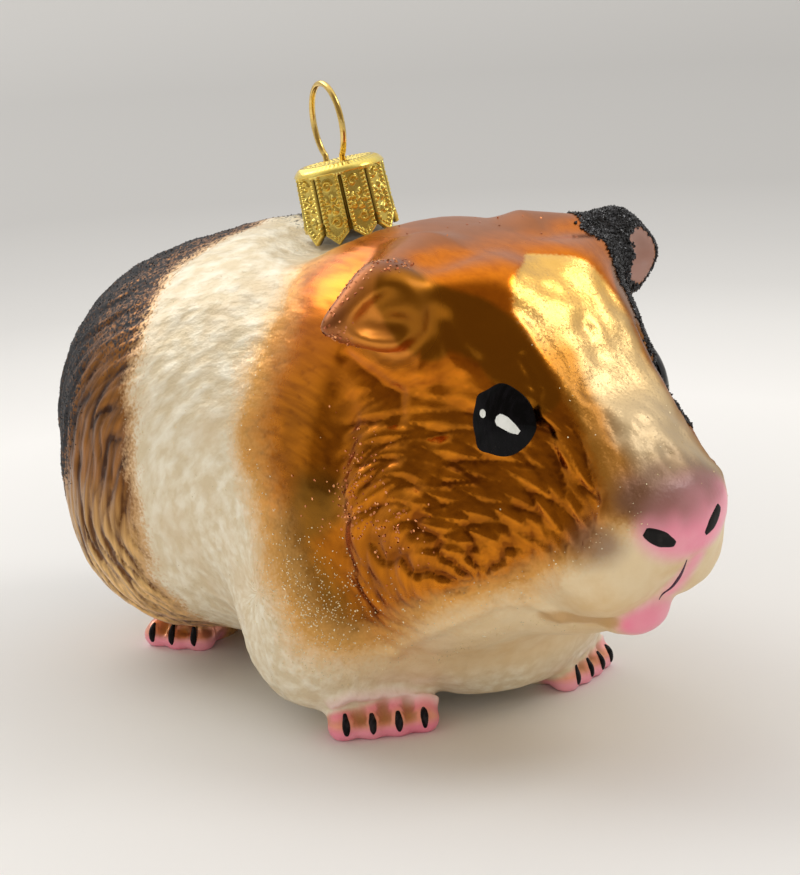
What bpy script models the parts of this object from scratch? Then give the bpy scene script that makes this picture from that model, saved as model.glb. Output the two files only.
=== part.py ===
"""A mouth-blown glass Christmas ornament: a guinea pig with a metal cap and a wire hanging loop.

The animal faces -Y, its left is +X and its soles stand on z = 0. The tables below are in
millimetres from a point under the trunk, and ORIGIN is where the part's own origin lies among
them: the middle of its base. The scene is in metres. The glass is modelled whole, as the zero
surface of one field of melted volumes, and parted with thin cuts.
"""

import math

import bmesh
import bpy
import numpy as np
from mathutils import Matrix, Vector

MM = 0.001
ORIGIN = (0, -3.2, 0)
GAP = 0.3

# The glass is sampled on cells of this size, then thinned to this share of its faces.
CELL = 1.1
KEPT_FACES = 0.14
PINCH_FILL = 0.05
FIELD_LOW = np.array((-28.0, -52.0, -3.0))
FIELD_HIGH = np.array((28.0, 46.0, 56.0))

# Trunk and head are swollen ellipsoids: centre, radii and squareness (2 is a plain ellipsoid).
TRUNK = ((0, 15.8, 25.8), (24.0, 26.0, 21.6), 2.2)
HEAD = ((0, -14.5, 31.0), (18.3, 21.8, 20.4), 2.45)

# Volumes melted into them: centre, radii and the reach of the melt.
BODY_VOLUMES = {
    "shoulders": ((0, -9.5, 24.0), (21.5, 22.0, 22.0), 9.0),
    "withers": ((0, 6.0, 37.0), (14.0, 17.0, 12.5), 6.0),
    "foreleg_right": ((-14.0, -8.0, 12.5), (9.3, 10.0, 12.0), 4.0),
    "foreleg_left": ((11.0, -13.5, 12.0), (8.5, 9.0, 11.5), 4.0),
    "chest": ((0, -14.0, 12.5), (13.0, 11.0, 11.0), 4.0),
    "belly": ((0, 4.0, 12.5), (15.0, 16.0, 10.0), 5.0),
}
HEAD_VOLUMES = {
    "muzzle": ((0, -35.0, 26.5), (10.0, 11.0, 11.0), 5.0),
    "chin": ((0, -31.0, 17.0), (8.0, 9.0, 5.5), 4.0),
    "nose": ((0, -43.6, 25.8), (6.8, 4.3, 4.4), 4.0),
    "lower_lip": ((0, -38.8, 15.4), (4.0, 3.7, 2.8), 1.2),
}

# The same on both sides, given for the left.
HAUNCH = ((11.5, 20.5, 16.0), (10.8, 13.5, 12.0), 6.0)
HEAD_PAIRS = {
    "cheek": ((9.5, -22.5, 22.5), (9.3, 12.5, 12.0), 5.0),
    "eye_mound": ((8.0, -30.2, 35.4), (3.0, 4.8, 4.9), 2.0),
    "whisker_pad": ((4.3, -39.4, 21.5), (5.8, 5.8, 5.6), 2.2),
}
BROW = ((4.5, -26.5, 46.6), (14.0, -23.8, 47.4), 2.6, 1.8, 3.0)
HEAD_MELT = 3.0

# The temples are flattened: the way they face, how far out, and the reach of the melt.
TEMPLE = ((0.894, -0.447, 0), 24.2, 3.0)

# The blaze is a flat ridge down the forehead, from the crown to the nose.
BLAZE_CENTRE = (0, -36.6, 37.9)
BLAZE_SLOPE = math.radians(49.3)
BLAZE_HALF_SIZE = (5.4, 11.5, 1.2)
BLAZE_ROUNDING = 2.6
BLAZE_DEPTH = 3.1
BLAZE_MELT = 1.6

# An ear is a cup on a swelling of the crown. It points to its tip and opens along its face. The
# cup and its hollow are given along, across and out of the ear, and the taper as its start and
# length along the ear and the share of the width that it takes away.
EAR_CENTRE = (17.2, -23.0, 46.4)
EAR_TIP_WAY = (0.92, 0.33, -0.17)
EAR_FACE_WAY = (0.38, -0.9, 0.19)
EAR_CUP = ((0.4, 0, -0.5), (5.3, 4.5, 2.3))
EAR_HOLLOW = ((0.4, 0, 1.7), (4.1, 3.4, 2.5))
EAR_TAPER = (-1.0, 7.0, 0.6)
EAR_RIM = 0.8
EAR_SWELLING = ((7.5, -18.8, 45.8), (14.4, -21.0, 47.0), 6.3, 3.6)
EAR_MELT = 2.5
EAR_ROOT_MELT = 1.5

# A soft crease goes down each side, between cheek and shoulder, and fades at both ends.
CREASE_Y = -17.2
CREASE_SLOPE = 0.05
CREASE_SLOPE_FROM = 25
CREASE_DEPTH = 1.0
CREASE_WIDTH = 1.6
CREASE_LOW_END = (10, 16)
CREASE_HIGH_END = (41, 33)

# Feet: place on the floor, turn about Z in degrees and size against the right forefoot.
FOREFOOT_RIGHT = ((-11.4, -12.0, 0), -32, 1.0)
FOREFOOT_LEFT = ((10.2, -15.5, 0), 18, 0.92)
HINDFOOT_LEFT = ((7.2, 25.2, 0), 66, 1.0)
FOREFOOT_PAD = ((0, 1.0, 2.0), (5.3, 5.4, 3.7))
HINDFOOT_PAD = ((0, 1.0, 1.7), (4.7, 5.8, 3.2))
FORE_TOES = (4, 4.8)
HIND_TOES = (3, 4.9)
TOE_SPACING = 2.6
TOE_ROOT = (0.8, -0.8, 2.6)
TOE_TIP = (1.05, 0.13, 1.3)
TOE_RADIUS = 1.75
TOE_MELT = 1.0
BELLY_HEIGHT = 1.8
BELLY_MELT = 1.5
FOOT_MELT = 1.8

# Eyes: black enamel domes, let into the glass.
EYE_PLACE = (10.3, -33.0, 35.7)
EYE_RADII = (3.1, 3.6, 0.9)

# The cap stands on the back and leans a little, back and to the right.
CAP_BASE = (0, 1.1, 48.3)
CAP_WAY = (-0.065, 0.17, 0.98)
CAP_HEIGHT = 8.3
CAP_FOOT_RADIUS = 5.2
CAP_TOP_RADIUS = 4.95
CAP_WALL = 0.5
CAP_BEVEL = 0.55
CAP_WAIST = 0.68
CAP_PETALS = 10
FIRST_NOTCH = math.radians(15)
PETAL_NOTCH = 1.7
CAP_SEGMENTS = 60
NECK_RADIUS = 3.9
NECK_HEIGHT = 6.0
NECK_ROOT = 4.0

# The hanging loop is one bent wire, its legs through two holes in the cap. Its heights are above
# the roof, its offset is across the loop, and it leans by so much of its height.
WIRE_RADIUS = 0.33
LOOP_HALF_SIZE = (3.8, 4.3)
LOOP_CENTRE_HEIGHT = 4.0
LOOP_LEG_SPREAD = 2.25
LOOP_LEG_DEPTH = 1.1
LOOP_OFFSET = -0.65
LOOP_LEAN = 0.09
LOOP_TURN = math.radians(-15)
LOOP_POINTS = 28

# Where the glass is parted: the head along a bent wall, ears and feet along domes.
HEAD_WALL = ((-12.6, 58.0), (-18.3, 12.2), (-27.0, 9.4), (-56.0, 9.4), (-56.0, 58.0))
EAR_BALL = ((18.1, -22.9, 46.4), 6.8)
FOREFOOT_DOME = (8.0, 8.6, 5.0)
HINDFOOT_DOME = (7.2, 8.6, 4.8)
DOME_AHEAD = -0.8
SOLE_SINK = 0.3

AMBER = (0.62, 0.24, 0.03)
CREAM = (0.80, 0.74, 0.60)
BLACK = (0.02, 0.02, 0.02)
PINK = (0.85, 0.42, 0.40)
GOLD = (0.80, 0.58, 0.16)


# ---- the field: negative inside the glass ----


def smooth_min(one, other, reach):
    share = np.clip(0.5 + 0.5 * (other - one) / reach, 0, 1)
    return other * (1 - share) + one * share - reach * share * (1 - share)


def smooth_max(one, other, reach):
    return -smooth_min(-one, -other, reach)


def ellipsoid(points, centre, radii):
    offset = points - np.array(centre)
    near = np.linalg.norm(offset / np.array(radii), axis=-1)
    steep = np.linalg.norm(offset / np.square(radii), axis=-1)
    return near * (near - 1) / np.maximum(steep, 1e-9)


def swollen_ellipsoid(points, centre, radii, squareness):
    offset = points - np.array(centre)
    scaled = np.abs(offset / np.array(radii)) ** squareness
    near = np.maximum(scaled.sum(axis=-1) ** (1 / squareness), 1e-6)
    return (near - 1) * np.linalg.norm(offset, axis=-1) / near


def capsule(points, start, end, start_radius, end_radius):
    start, end = np.array(start), np.array(end)
    axis = end - start
    along = np.clip((points - start) @ axis / (axis @ axis), 0, 1)
    spread = np.linalg.norm(points - start - along[..., None] * axis, axis=-1)
    return spread - (start_radius + (end_radius - start_radius) * along)


def rounded_box(points, half_size, rounding):
    beyond = np.abs(points) - np.array(half_size)
    outside = np.linalg.norm(np.maximum(beyond, 0), axis=-1)
    return outside + np.minimum(beyond.max(axis=-1), 0) - rounding


def melt(field, points, volume):
    centre, radii, reach = volume
    return smooth_min(field, ellipsoid(points, centre, radii), reach)


def left_side(points):
    """The points with those of the right side mirrored to the left."""
    return points * (0, 1, 1) + np.abs(points * (1, 0, 0))


def ear_axes():
    """Columns: towards the tip, across the ear, and the way the cup opens."""
    tip = Vector(EAR_TIP_WAY).normalized()
    face = Vector(EAR_FACE_WAY)
    face = (face - face.dot(tip) * tip).normalized()
    return np.array((tip, face.cross(tip), face)).T


def ear_field(points):
    local = (points - np.array(EAR_CENTRE)) @ ear_axes()
    taper_start, taper_length, taper = EAR_TAPER
    towards_tip = np.clip((local[..., 0] - taper_start) / taper_length, 0, 1)
    local[..., 1] /= 1 - taper * towards_tip
    ear = smooth_min(ellipsoid(local, *EAR_CUP), capsule(points, *EAR_SWELLING), EAR_MELT)
    return smooth_max(ear, -ellipsoid(local, *EAR_HOLLOW), EAR_RIM)


def blaze_field(points):
    along = np.array((0, math.cos(BLAZE_SLOPE), math.sin(BLAZE_SLOPE)))
    out = np.array((0, -along[2], along[1]))
    middle = np.array(BLAZE_CENTRE) - out * BLAZE_DEPTH
    local = (points - middle) @ np.array(((1, 0, 0), along, out)).T
    return rounded_box(local, BLAZE_HALF_SIZE, BLAZE_ROUNDING)


def head_field(points, paired):
    temple_way, temple_distance, temple_reach = TEMPLE
    head = swollen_ellipsoid(points, *HEAD)
    head = smooth_max(head, paired @ np.array(temple_way) - temple_distance, temple_reach)
    head = melt(head, paired, HEAD_PAIRS["cheek"])
    for name in ("muzzle", "chin"):
        head = melt(head, points, HEAD_VOLUMES[name])
    head = smooth_min(head, blaze_field(points), BLAZE_MELT)
    head = smooth_min(head, capsule(paired, *BROW[:4]), BROW[4])
    for name in ("eye_mound", "whisker_pad"):
        head = melt(head, paired, HEAD_PAIRS[name])
    for name in ("nose", "lower_lip"):
        head = melt(head, points, HEAD_VOLUMES[name])
    return head


def ramp(values, start, end):
    """0 at the start and 1 at the end, and level beyond them."""
    return np.clip((values - start) / (end - start), 0, 1)


def crease_depth(points):
    height = points[..., 2]
    beside = points[..., 1] - CREASE_Y - CREASE_SLOPE * (height - CREASE_SLOPE_FROM)
    ends = ramp(height, *CREASE_LOW_END) * ramp(height, *CREASE_HIGH_END)
    return CREASE_DEPTH * np.exp(-np.square(beside / CREASE_WIDTH)) * ends


def foot_field(points, place, pad, toes):
    """A pad with toes: each fans out from its root to its tip, the outer ones a little shorter."""
    centre, turn, size = place
    toe_count, toe_reach = toes
    spin = np.array(Matrix.Rotation(math.radians(turn), 3, "Z"))
    local = (points - np.array(centre)) @ spin / size
    foot = ellipsoid(local, *pad)
    for toe in range(toe_count):
        side = (toe - (toe_count - 1) / 2) * TOE_SPACING
        root = (TOE_ROOT[0] * side, TOE_ROOT[1], TOE_ROOT[2])
        tip = (TOE_TIP[0] * side, TOE_TIP[1] * abs(side) - toe_reach, TOE_TIP[2])
        foot = smooth_min(foot, capsule(local, root, tip, TOE_RADIUS, TOE_RADIUS), TOE_MELT)
    return foot * size


def glass_field(points):
    paired = left_side(points)
    glass = swollen_ellipsoid(points, *TRUNK)
    glass = melt(glass, paired, HAUNCH)
    for volume in BODY_VOLUMES.values():
        glass = melt(glass, points, volume)
    glass = smooth_min(glass, head_field(points, paired), HEAD_MELT)
    glass = glass + crease_depth(points)
    glass = smooth_min(glass, ear_field(paired), EAR_ROOT_MELT)
    glass = smooth_max(glass, BELLY_HEIGHT - points[..., 2], BELLY_MELT)
    feet = foot_field(points, FOREFOOT_RIGHT, FOREFOOT_PAD, FORE_TOES)
    feet = np.minimum(feet, foot_field(points, FOREFOOT_LEFT, FOREFOOT_PAD, FORE_TOES))
    feet = np.minimum(feet, foot_field(paired, HINDFOOT_LEFT, HINDFOOT_PAD, HIND_TOES))
    return smooth_min(glass, feet, FOOT_MELT)


def field_slope(points, step=0.05):
    """The field's gradient, by differences, for an N x 3 array of points."""
    slope = np.empty_like(points)
    for axis, way in enumerate(np.eye(3) * step):
        slope[:, axis] = (glass_field(points + way) - glass_field(points - way)) / (2 * step)
    return slope


def on_surface(points, rounds=3, longest_step=0.25):
    """The points moved along the field's slope onto the glass."""
    for _ in range(rounds):
        slope = field_slope(points)
        steepness = np.linalg.norm(slope, axis=1)
        step = np.clip(glass_field(points) / steepness, -longest_step, longest_step)
        points = points - slope * (step / steepness)[:, None]
    return points


def fill_pinches(values):
    """Fills the grid corners where two sheets of the surface would meet along one edge."""
    while True:
        pinched = np.zeros(values.shape, bool)
        for axis in range(3):
            faces = np.moveaxis(values, axis, 0) < 0
            near, far = faces[:, :-1], faces[:, 1:]
            crossed = (near[..., :-1] == far[..., 1:]) & (near[..., 1:] == far[..., :-1])
            crossed &= near[..., :-1] != near[..., 1:]
            marked = np.moveaxis(pinched, axis, 0)
            for rows in (slice(None, -1), slice(1, None)):
                for columns in (slice(None, -1), slice(1, None)):
                    marked[:, rows, columns] |= crossed
        pinched &= values >= 0
        if not pinched.any():
            return values
        values = np.where(pinched, -PINCH_FILL, values)


def surface_net(field, low, high, cell):
    """Points and quads of the field's zero surface, with one point in each cell that it crosses."""
    axes = [np.arange(low[i], high[i] + cell, cell) for i in range(3)]
    values = fill_pinches(field(np.stack(np.meshgrid(*axes, indexing="ij"), axis=-1)))
    sums = np.zeros((*values.shape, 3))
    counts = np.zeros(values.shape)
    steps = np.eye(3, dtype=int)
    quads = []
    for axis in range(3):
        side, up = steps[(axis + 1) % 3], steps[(axis + 2) % 3]
        edges = np.argwhere(np.diff(values < 0, axis=axis))
        start = values[tuple(edges.T)]
        end = values[tuple((edges + steps[axis]).T)]
        crossings = edges + np.outer(start / (start - end), steps[axis])
        ring = [edges - side - up, edges - up, edges, edges - side]
        for cells in ring:
            np.add.at(sums, tuple(cells.T), crossings)
            np.add.at(counts, tuple(cells.T), 1)
        loops = np.stack([np.ravel_multi_index(cells.T, values.shape) for cells in ring], axis=1)
        loops[start > 0] = loops[start > 0][:, ::-1]
        quads.append(loops)
    used, quads = np.unique(np.concatenate(quads), return_inverse=True)
    points = sums.reshape(-1, 3)[used] / counts.reshape(-1)[used][:, None]
    return low + cell * points, quads.reshape(-1, 4)


# ---- objects ----


def tables_matrix():
    """From the millimetres of the tables to the scene."""
    return Matrix.Scale(MM, 4) @ Matrix.Translation(-Vector(ORIGIN))


def cap_frame():
    """From millimetres on the cap's own axis to those of the tables."""
    lean = Vector((0, 0, 1)).rotation_difference(CAP_WAY)
    return Matrix.Translation(CAP_BASE) @ lean.to_matrix().to_4x4()


def clear_scene():
    for item in list(bpy.data.objects):
        bpy.data.objects.remove(item, do_unlink=True)


def add_object(name, data):
    item = bpy.data.objects.new(name, data)
    bpy.context.scene.collection.objects.link(item)
    return item


def add_mesh(name, points, faces, matrix):
    """A smooth-shaded object from points in millimetres, which the matrix takes to the scene."""
    mesh = bpy.data.meshes.new(name)
    mesh.from_pydata(np.asarray(points).tolist(), [], faces)
    mesh.transform(matrix)
    mesh.shade_smooth()
    return add_object(name, mesh)


def add_shape(name, shape, matrix):
    """The same from a bmesh, which is freed."""
    shape.transform(matrix)
    mesh = bpy.data.meshes.new(name)
    shape.to_mesh(mesh)
    shape.free()
    mesh.shade_smooth()
    return add_object(name, mesh)


def finish(item, colour, roughness, metallic):
    material = bpy.data.materials.new(item.name)
    material.use_nodes = True
    shader = material.node_tree.nodes["Principled BSDF"]
    shader.inputs["Base Color"].default_value = (*colour, 1)
    shader.inputs["Roughness"].default_value = roughness
    shader.inputs["Metallic"].default_value = metallic
    item.data.materials.clear()
    item.data.materials.append(material)


def as_cutter(item):
    item.hide_render = True
    item.display_type = "WIRE"
    return item


def combine(item, operation, other):
    modifier = item.modifiers.new(f"{operation.lower()} {other.name}", "BOOLEAN")
    modifier.operation = operation
    modifier.object = other


def ellipsoid_object(name, centre, radii, spin=Matrix.Identity(3), segments=20):
    shape = bmesh.new()
    bmesh.ops.create_uvsphere(shape, u_segments=segments, v_segments=segments // 2, radius=1)
    stretch = (spin @ Matrix.Diagonal(Vector(radii))).to_4x4()
    return add_shape(name, shape, tables_matrix() @ Matrix.Translation(centre) @ stretch)


def prism_cutter(name, outline, half_width, shift):
    """An outline of (y, z) points extruded along X, moved by shift."""
    shape = bmesh.new()
    corners = [shape.verts.new((-half_width, y + shift[0], z + shift[1])) for y, z in outline]
    side = shape.faces.new(corners)
    swept = bmesh.ops.extrude_face_region(shape, geom=[side])["geom"]
    moved = [item for item in swept if isinstance(item, bmesh.types.BMVert)]
    bmesh.ops.translate(shape, vec=(2 * half_width, 0, 0), verts=moved)
    bmesh.ops.recalc_face_normals(shape, faces=shape.faces)
    return as_cutter(add_shape(name, shape, tables_matrix()))


def cap_cylinder(name, radius, low, high, segments, centre=(0, 0)):
    """A cylinder on the cap's own axis, or beside it."""
    shape = bmesh.new()
    bmesh.ops.create_cone(
        shape, cap_ends=True, segments=segments, radius1=radius, radius2=radius, depth=high - low
    )
    middle = Matrix.Translation((*centre, (low + high) / 2))
    return as_cutter(add_shape(name, shape, tables_matrix() @ cap_frame() @ middle))


# ---- the glass ----


def whole_glass():
    """The undivided glass body, thinned to a light mesh, with flat soles."""
    points, quads = surface_net(glass_field, FIELD_LOW, FIELD_HIGH, CELL)
    whole = add_mesh("whole_glass", on_surface(points), quads.tolist(), tables_matrix())
    whole.modifiers.new("thin", "DECIMATE").ratio = KEPT_FACES
    floor = prism_cutter("floor", ((-70, 0), (70, 0), (70, -20), (-70, -20)), 50, (0, 0))
    combine(whole, "DIFFERENCE", floor)
    graph = bpy.context.evaluated_depsgraph_get()
    mesh = bpy.data.meshes.new_from_object(whole.evaluated_get(graph))
    bpy.data.objects.remove(whole)
    bpy.data.objects.remove(floor)
    return mesh


def glass_piece(name, whole, colour):
    item = add_object(name, whole.copy())
    finish(item, colour, roughness=0.3, metallic=0.85)
    return item


def neck_stub():
    """The blown neck that the cap is pushed over."""
    return cap_cylinder("neck", NECK_RADIUS, -NECK_ROOT, NECK_HEIGHT, 32)


def mirrored_place(place):
    (x, y, z), turn, size = place
    return (-x, y, z), -turn, size


def foot_dome(name, place, radii, grow):
    centre, turn, size = place
    spin = Matrix.Rotation(math.radians(turn), 3, "Z")
    middle = Vector(centre) + spin @ Vector((0, DOME_AHEAD * size, -SOLE_SINK))
    grown = [size * radius + grow for radius in radii]
    return as_cutter(ellipsoid_object(name, middle, grown, spin))


def build_feet(trunk, whole):
    feet = {
        "forefoot_right": (FOREFOOT_RIGHT, FOREFOOT_DOME),
        "forefoot_left": (FOREFOOT_LEFT, FOREFOOT_DOME),
        "hindfoot_right": (mirrored_place(HINDFOOT_LEFT), HINDFOOT_DOME),
        "hindfoot_left": (HINDFOOT_LEFT, HINDFOOT_DOME),
    }
    for name, (place, radii) in feet.items():
        foot = glass_piece(name, whole, PINK)
        combine(foot, "INTERSECT", foot_dome(f"{name}_dome", place, radii, 0))
        combine(trunk, "DIFFERENCE", foot_dome(f"{name}_socket", place, radii, GAP))


def build_ear(head, whole, side, word, colour):
    (x, y, z), radius = EAR_BALL
    centre = (side * x, y, z)
    ear = glass_piece(f"ear_{word}", whole, colour)
    ball = ellipsoid_object(f"ear_{word}_ball", centre, [radius] * 3)
    socket = ellipsoid_object(f"ear_{word}_socket", centre, [radius + GAP] * 3)
    combine(ear, "INTERSECT", as_cutter(ball))
    combine(head, "DIFFERENCE", as_cutter(socket))


def build_eye(head, side, word):
    """A dome of enamel, centred on the glass and facing as the glass does."""
    place = on_surface(np.array([EYE_PLACE]) * (side, 1, 1))
    look = Vector(field_slope(place)[0]).normalized()
    across = Vector((0, 0, 1)).cross(look).normalized()
    turn = Matrix((across, look.cross(across), look)).transposed()
    grown = [radius + GAP for radius in EYE_RADII]
    eye = ellipsoid_object(f"eye_{word}", place[0], EYE_RADII, turn, segments=16)
    socket = ellipsoid_object(f"eye_{word}_socket", place[0], grown, turn, segments=16)
    combine(head, "DIFFERENCE", as_cutter(socket))
    finish(eye, BLACK, roughness=0.1, metallic=0)


def build_glass():
    whole = whole_glass()
    trunk = glass_piece("trunk", whole, CREAM)
    head = glass_piece("head", whole, AMBER)
    combine(trunk, "DIFFERENCE", prism_cutter("head_side", HEAD_WALL, 40, (0, 0)))
    combine(head, "INTERSECT", prism_cutter("head_block", HEAD_WALL, 40, (-GAP, GAP)))
    build_feet(trunk, whole)
    for side, word, colour in ((1, "left", BLACK), (-1, "right", AMBER)):
        build_ear(head, whole, side, word, colour)
        build_eye(head, side, word)
    combine(trunk, "UNION", neck_stub())


# ---- the cap and its loop ----


def glass_height(angles):
    """The height of the glass under the cap's wall at each angle, on the cap's own axis."""
    frame = np.array(cap_frame())
    heights = np.arange(-CAP_HEIGHT, CAP_HEIGHT, 0.02)
    found = []
    for radius in (CAP_FOOT_RADIUS - CAP_WALL, CAP_FOOT_RADIUS):
        columns = np.empty((len(angles), len(heights), 3))
        columns[..., 0] = radius * np.cos(angles)[:, None]
        columns[..., 1] = radius * np.sin(angles)[:, None]
        columns[..., 2] = heights
        inside = glass_field(columns @ frame[:3, :3].T + frame[:3, 3]) < 0
        found.append(np.where(inside, heights, -CAP_HEIGHT).max(axis=1))
    return np.max(found, axis=0)


def cap_profile():
    """Rings of the cap as (radius, height, whether it is a foot), up the outside and down the inside."""
    inner_top = CAP_TOP_RADIUS - CAP_WALL
    inner_foot = CAP_FOOT_RADIUS - CAP_WALL
    waist = CAP_WAIST * CAP_HEIGHT
    roof = CAP_HEIGHT - CAP_WALL
    return (
        (CAP_FOOT_RADIUS, 0, True),
        ((1 - CAP_WAIST) * CAP_FOOT_RADIUS + CAP_WAIST * CAP_TOP_RADIUS, waist, False),
        (CAP_TOP_RADIUS, CAP_HEIGHT - CAP_BEVEL, False),
        (CAP_TOP_RADIUS - CAP_BEVEL, CAP_HEIGHT, False),
        (0, CAP_HEIGHT, False),
        (0, roof, False),
        (inner_top, roof, False),
        ((1 - CAP_WAIST) * inner_foot + CAP_WAIST * inner_top, waist, False),
        (inner_foot, 0, True),
    )


def cap_rings():
    """Points of the cap in millimetres on its own axis, and the numbers of those in each ring."""
    turns = np.arange(CAP_SEGMENTS) / CAP_SEGMENTS
    angles = FIRST_NOTCH + math.tau * turns
    notches = PETAL_NOTCH * np.abs(2 * (turns * CAP_PETALS % 1) - 1)
    feet = glass_height(angles) + GAP + notches
    points, rings = [], []
    for radius, height, is_foot in cap_profile():
        first = len(points)
        for angle, foot in zip(angles if radius else angles[:1], feet):
            rise = foot if is_foot else height
            points.append((radius * math.cos(angle), radius * math.sin(angle), rise))
        rings.append(range(first, len(points)))
    return points, rings


def cap_faces(rings):
    faces = []
    for lower, upper in zip(rings, rings[1:] + rings[:1]):
        if len(lower) == len(upper) == 1:
            continue
        for i in range(CAP_SEGMENTS):
            j = (i + 1) % CAP_SEGMENTS
            if len(upper) == 1:
                faces.append((lower[i], lower[j], upper[0]))
            elif len(lower) == 1:
                faces.append((upper[j], upper[i], lower[0]))
            else:
                faces.append((lower[i], lower[j], upper[j], upper[i]))
    return faces


def loop_way():
    """The direction across the loop, on the cap's roof."""
    return Vector((math.sin(LOOP_TURN), -math.cos(LOOP_TURN)))


def build_cap():
    points, rings = cap_rings()
    cap = add_mesh("cap", points, cap_faces(rings), tables_matrix() @ cap_frame())
    for number, side in enumerate((-1, 1)):
        centre = (LOOP_OFFSET + side * LOOP_LEG_SPREAD) * loop_way()
        low, high = CAP_HEIGHT - 2 * CAP_WALL, CAP_HEIGHT + CAP_WALL
        hole = cap_cylinder(f"wire_hole_{number}", WIRE_RADIUS + GAP, low, high, 12, centre)
        combine(cap, "DIFFERENCE", hole)
    finish(cap, GOLD, roughness=0.2, metallic=1)


def loop_outline():
    """(across, up) from the roof: up one leg, round the ring and down the other leg."""
    half_width, half_height = LOOP_HALF_SIZE
    low_angle = math.asin(LOOP_LEG_SPREAD / half_width)
    outline = [(-LOOP_LEG_SPREAD, -LOOP_LEG_DEPTH)]
    for i in range(LOOP_POINTS + 1):
        angle = low_angle + (math.tau - 2 * low_angle) * i / LOOP_POINTS
        up = LOOP_CENTRE_HEIGHT - half_height * math.cos(angle)
        outline.append((-half_width * math.sin(angle), up))
    outline.append((LOOP_LEG_SPREAD, -LOOP_LEG_DEPTH))
    return [(across + LOOP_OFFSET + LOOP_LEAN * up, up) for across, up in outline]


def build_loop():
    outline = loop_outline()
    curve = bpy.data.curves.new("hanger_loop", "CURVE")
    curve.dimensions = "3D"
    curve.bevel_depth = WIRE_RADIUS
    curve.bevel_resolution = 2
    curve.use_fill_caps = True
    spline = curve.splines.new("POLY")
    spline.points.add(len(outline) - 1)
    for point, (across, up) in zip(spline.points, outline):
        point.co = (*(across * loop_way()), CAP_HEIGHT + up, 1)
    loop = add_object("hanger_loop", curve)
    loop.matrix_world = tables_matrix() @ cap_frame()
    finish(loop, GOLD, roughness=0.15, metallic=1)


def main():
    clear_scene()
    build_glass()
    build_cap()
    build_loop()


main()
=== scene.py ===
"""The looks of a mouth-blown glass guinea pig ornament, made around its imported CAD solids.

The glass is silvered inside and lacquered outside, so its colours are metallic. One skin stands for
all the glass nodes: the zero surface of a field of melted volumes, sampled finely, with the moulded
fur pressed into it. It is the field that the CAD solids were parted from, but for a shallower hollow
in the ears, a shallower crease at the neck and a lower chest. The tables are in millimetres from a
point under the trunk, and ORIGIN is where the part's own origin lies among them. The animal faces -Y
and its left is +X.
"""

import itertools
import math

import bpy
import numpy as np
from mathutils import Matrix, Vector


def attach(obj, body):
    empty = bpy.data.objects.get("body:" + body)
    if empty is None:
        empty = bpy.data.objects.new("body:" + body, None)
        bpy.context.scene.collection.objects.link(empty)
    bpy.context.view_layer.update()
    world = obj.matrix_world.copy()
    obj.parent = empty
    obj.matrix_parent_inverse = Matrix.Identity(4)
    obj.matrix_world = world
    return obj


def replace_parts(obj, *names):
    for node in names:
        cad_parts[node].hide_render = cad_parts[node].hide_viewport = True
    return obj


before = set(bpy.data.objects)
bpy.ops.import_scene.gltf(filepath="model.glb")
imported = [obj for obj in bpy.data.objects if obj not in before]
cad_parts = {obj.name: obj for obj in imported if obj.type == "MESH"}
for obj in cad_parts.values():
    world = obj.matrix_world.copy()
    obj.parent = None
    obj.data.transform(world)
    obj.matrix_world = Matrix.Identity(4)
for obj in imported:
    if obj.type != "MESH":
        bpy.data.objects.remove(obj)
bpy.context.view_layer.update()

MM = 0.001
ORIGIN = np.array((0, -3.2, 0))
BODY = "root"

# ---- the glass: volumes that melt into each other ----

# A volume is a centre, three radii and how far it melts into the rest. The trunk and the head have how
# square they are in place of the melting.
TRUNK = ((0, 15.8, 25.8), (24.0, 26.0, 21.6), 2.2)
HEAD = ((0, -14.5, 31.0), (18.3, 21.8, 20.4), 2.45)
BODY_VOLUMES = {
    "shoulders": ((0, -9.5, 24.0), (21.5, 22.0, 22.0), 9.0),
    "withers": ((0, 6.0, 37.0), (14.0, 17.0, 12.5), 6.0),
    "foreleg_right": ((-14.0, -8.0, 12.5), (9.3, 10.0, 12.0), 4.0),
    "foreleg_left": ((11.0, -13.5, 12.0), (8.5, 9.0, 11.5), 4.0),
    "chest": ((0, -14.0, 12.5), (13.0, 11.0, 11.0), 4.0),
    "belly": ((0, 4.0, 12.5), (15.0, 16.0, 10.0), 5.0),
    "apron": ((3.0, -17.0, 8.0), (10.0, 7.0, 7.2), 3.0),
}
HEAD_VOLUMES = {
    "muzzle": ((0, -35.0, 26.5), (10.0, 11.0, 11.0), 5.0),
    "chin": ((0, -31.0, 17.0), (8.0, 9.0, 5.5), 4.0),
    "nose": ((0, -43.6, 25.8), (6.8, 4.3, 4.4), 4.0),
    "lower_lip": ((0, -38.8, 15.4), (4.0, 3.7, 2.8), 1.2),
}
HAUNCH = ((11.5, 20.5, 16.0), (10.8, 13.5, 12.0), 6.0)
HEAD_PAIRS = {
    "cheek": ((9.5, -22.5, 22.5), (9.3, 12.5, 12.0), 5.0),
    "eye_mound": ((8.0, -30.2, 35.4), (3.0, 4.8, 4.9), 2.0),
    "whisker_pad": ((4.3, -39.4, 21.5), (5.8, 5.8, 5.6), 2.2),
}
# The brow is a capsule: its two ends, its radius at each, and how far it melts.
BROW = ((4.5, -26.5, 46.6), (14.0, -23.8, 47.4), 2.6, 1.8, 3.0)
HEAD_MELT = 3.0
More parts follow.
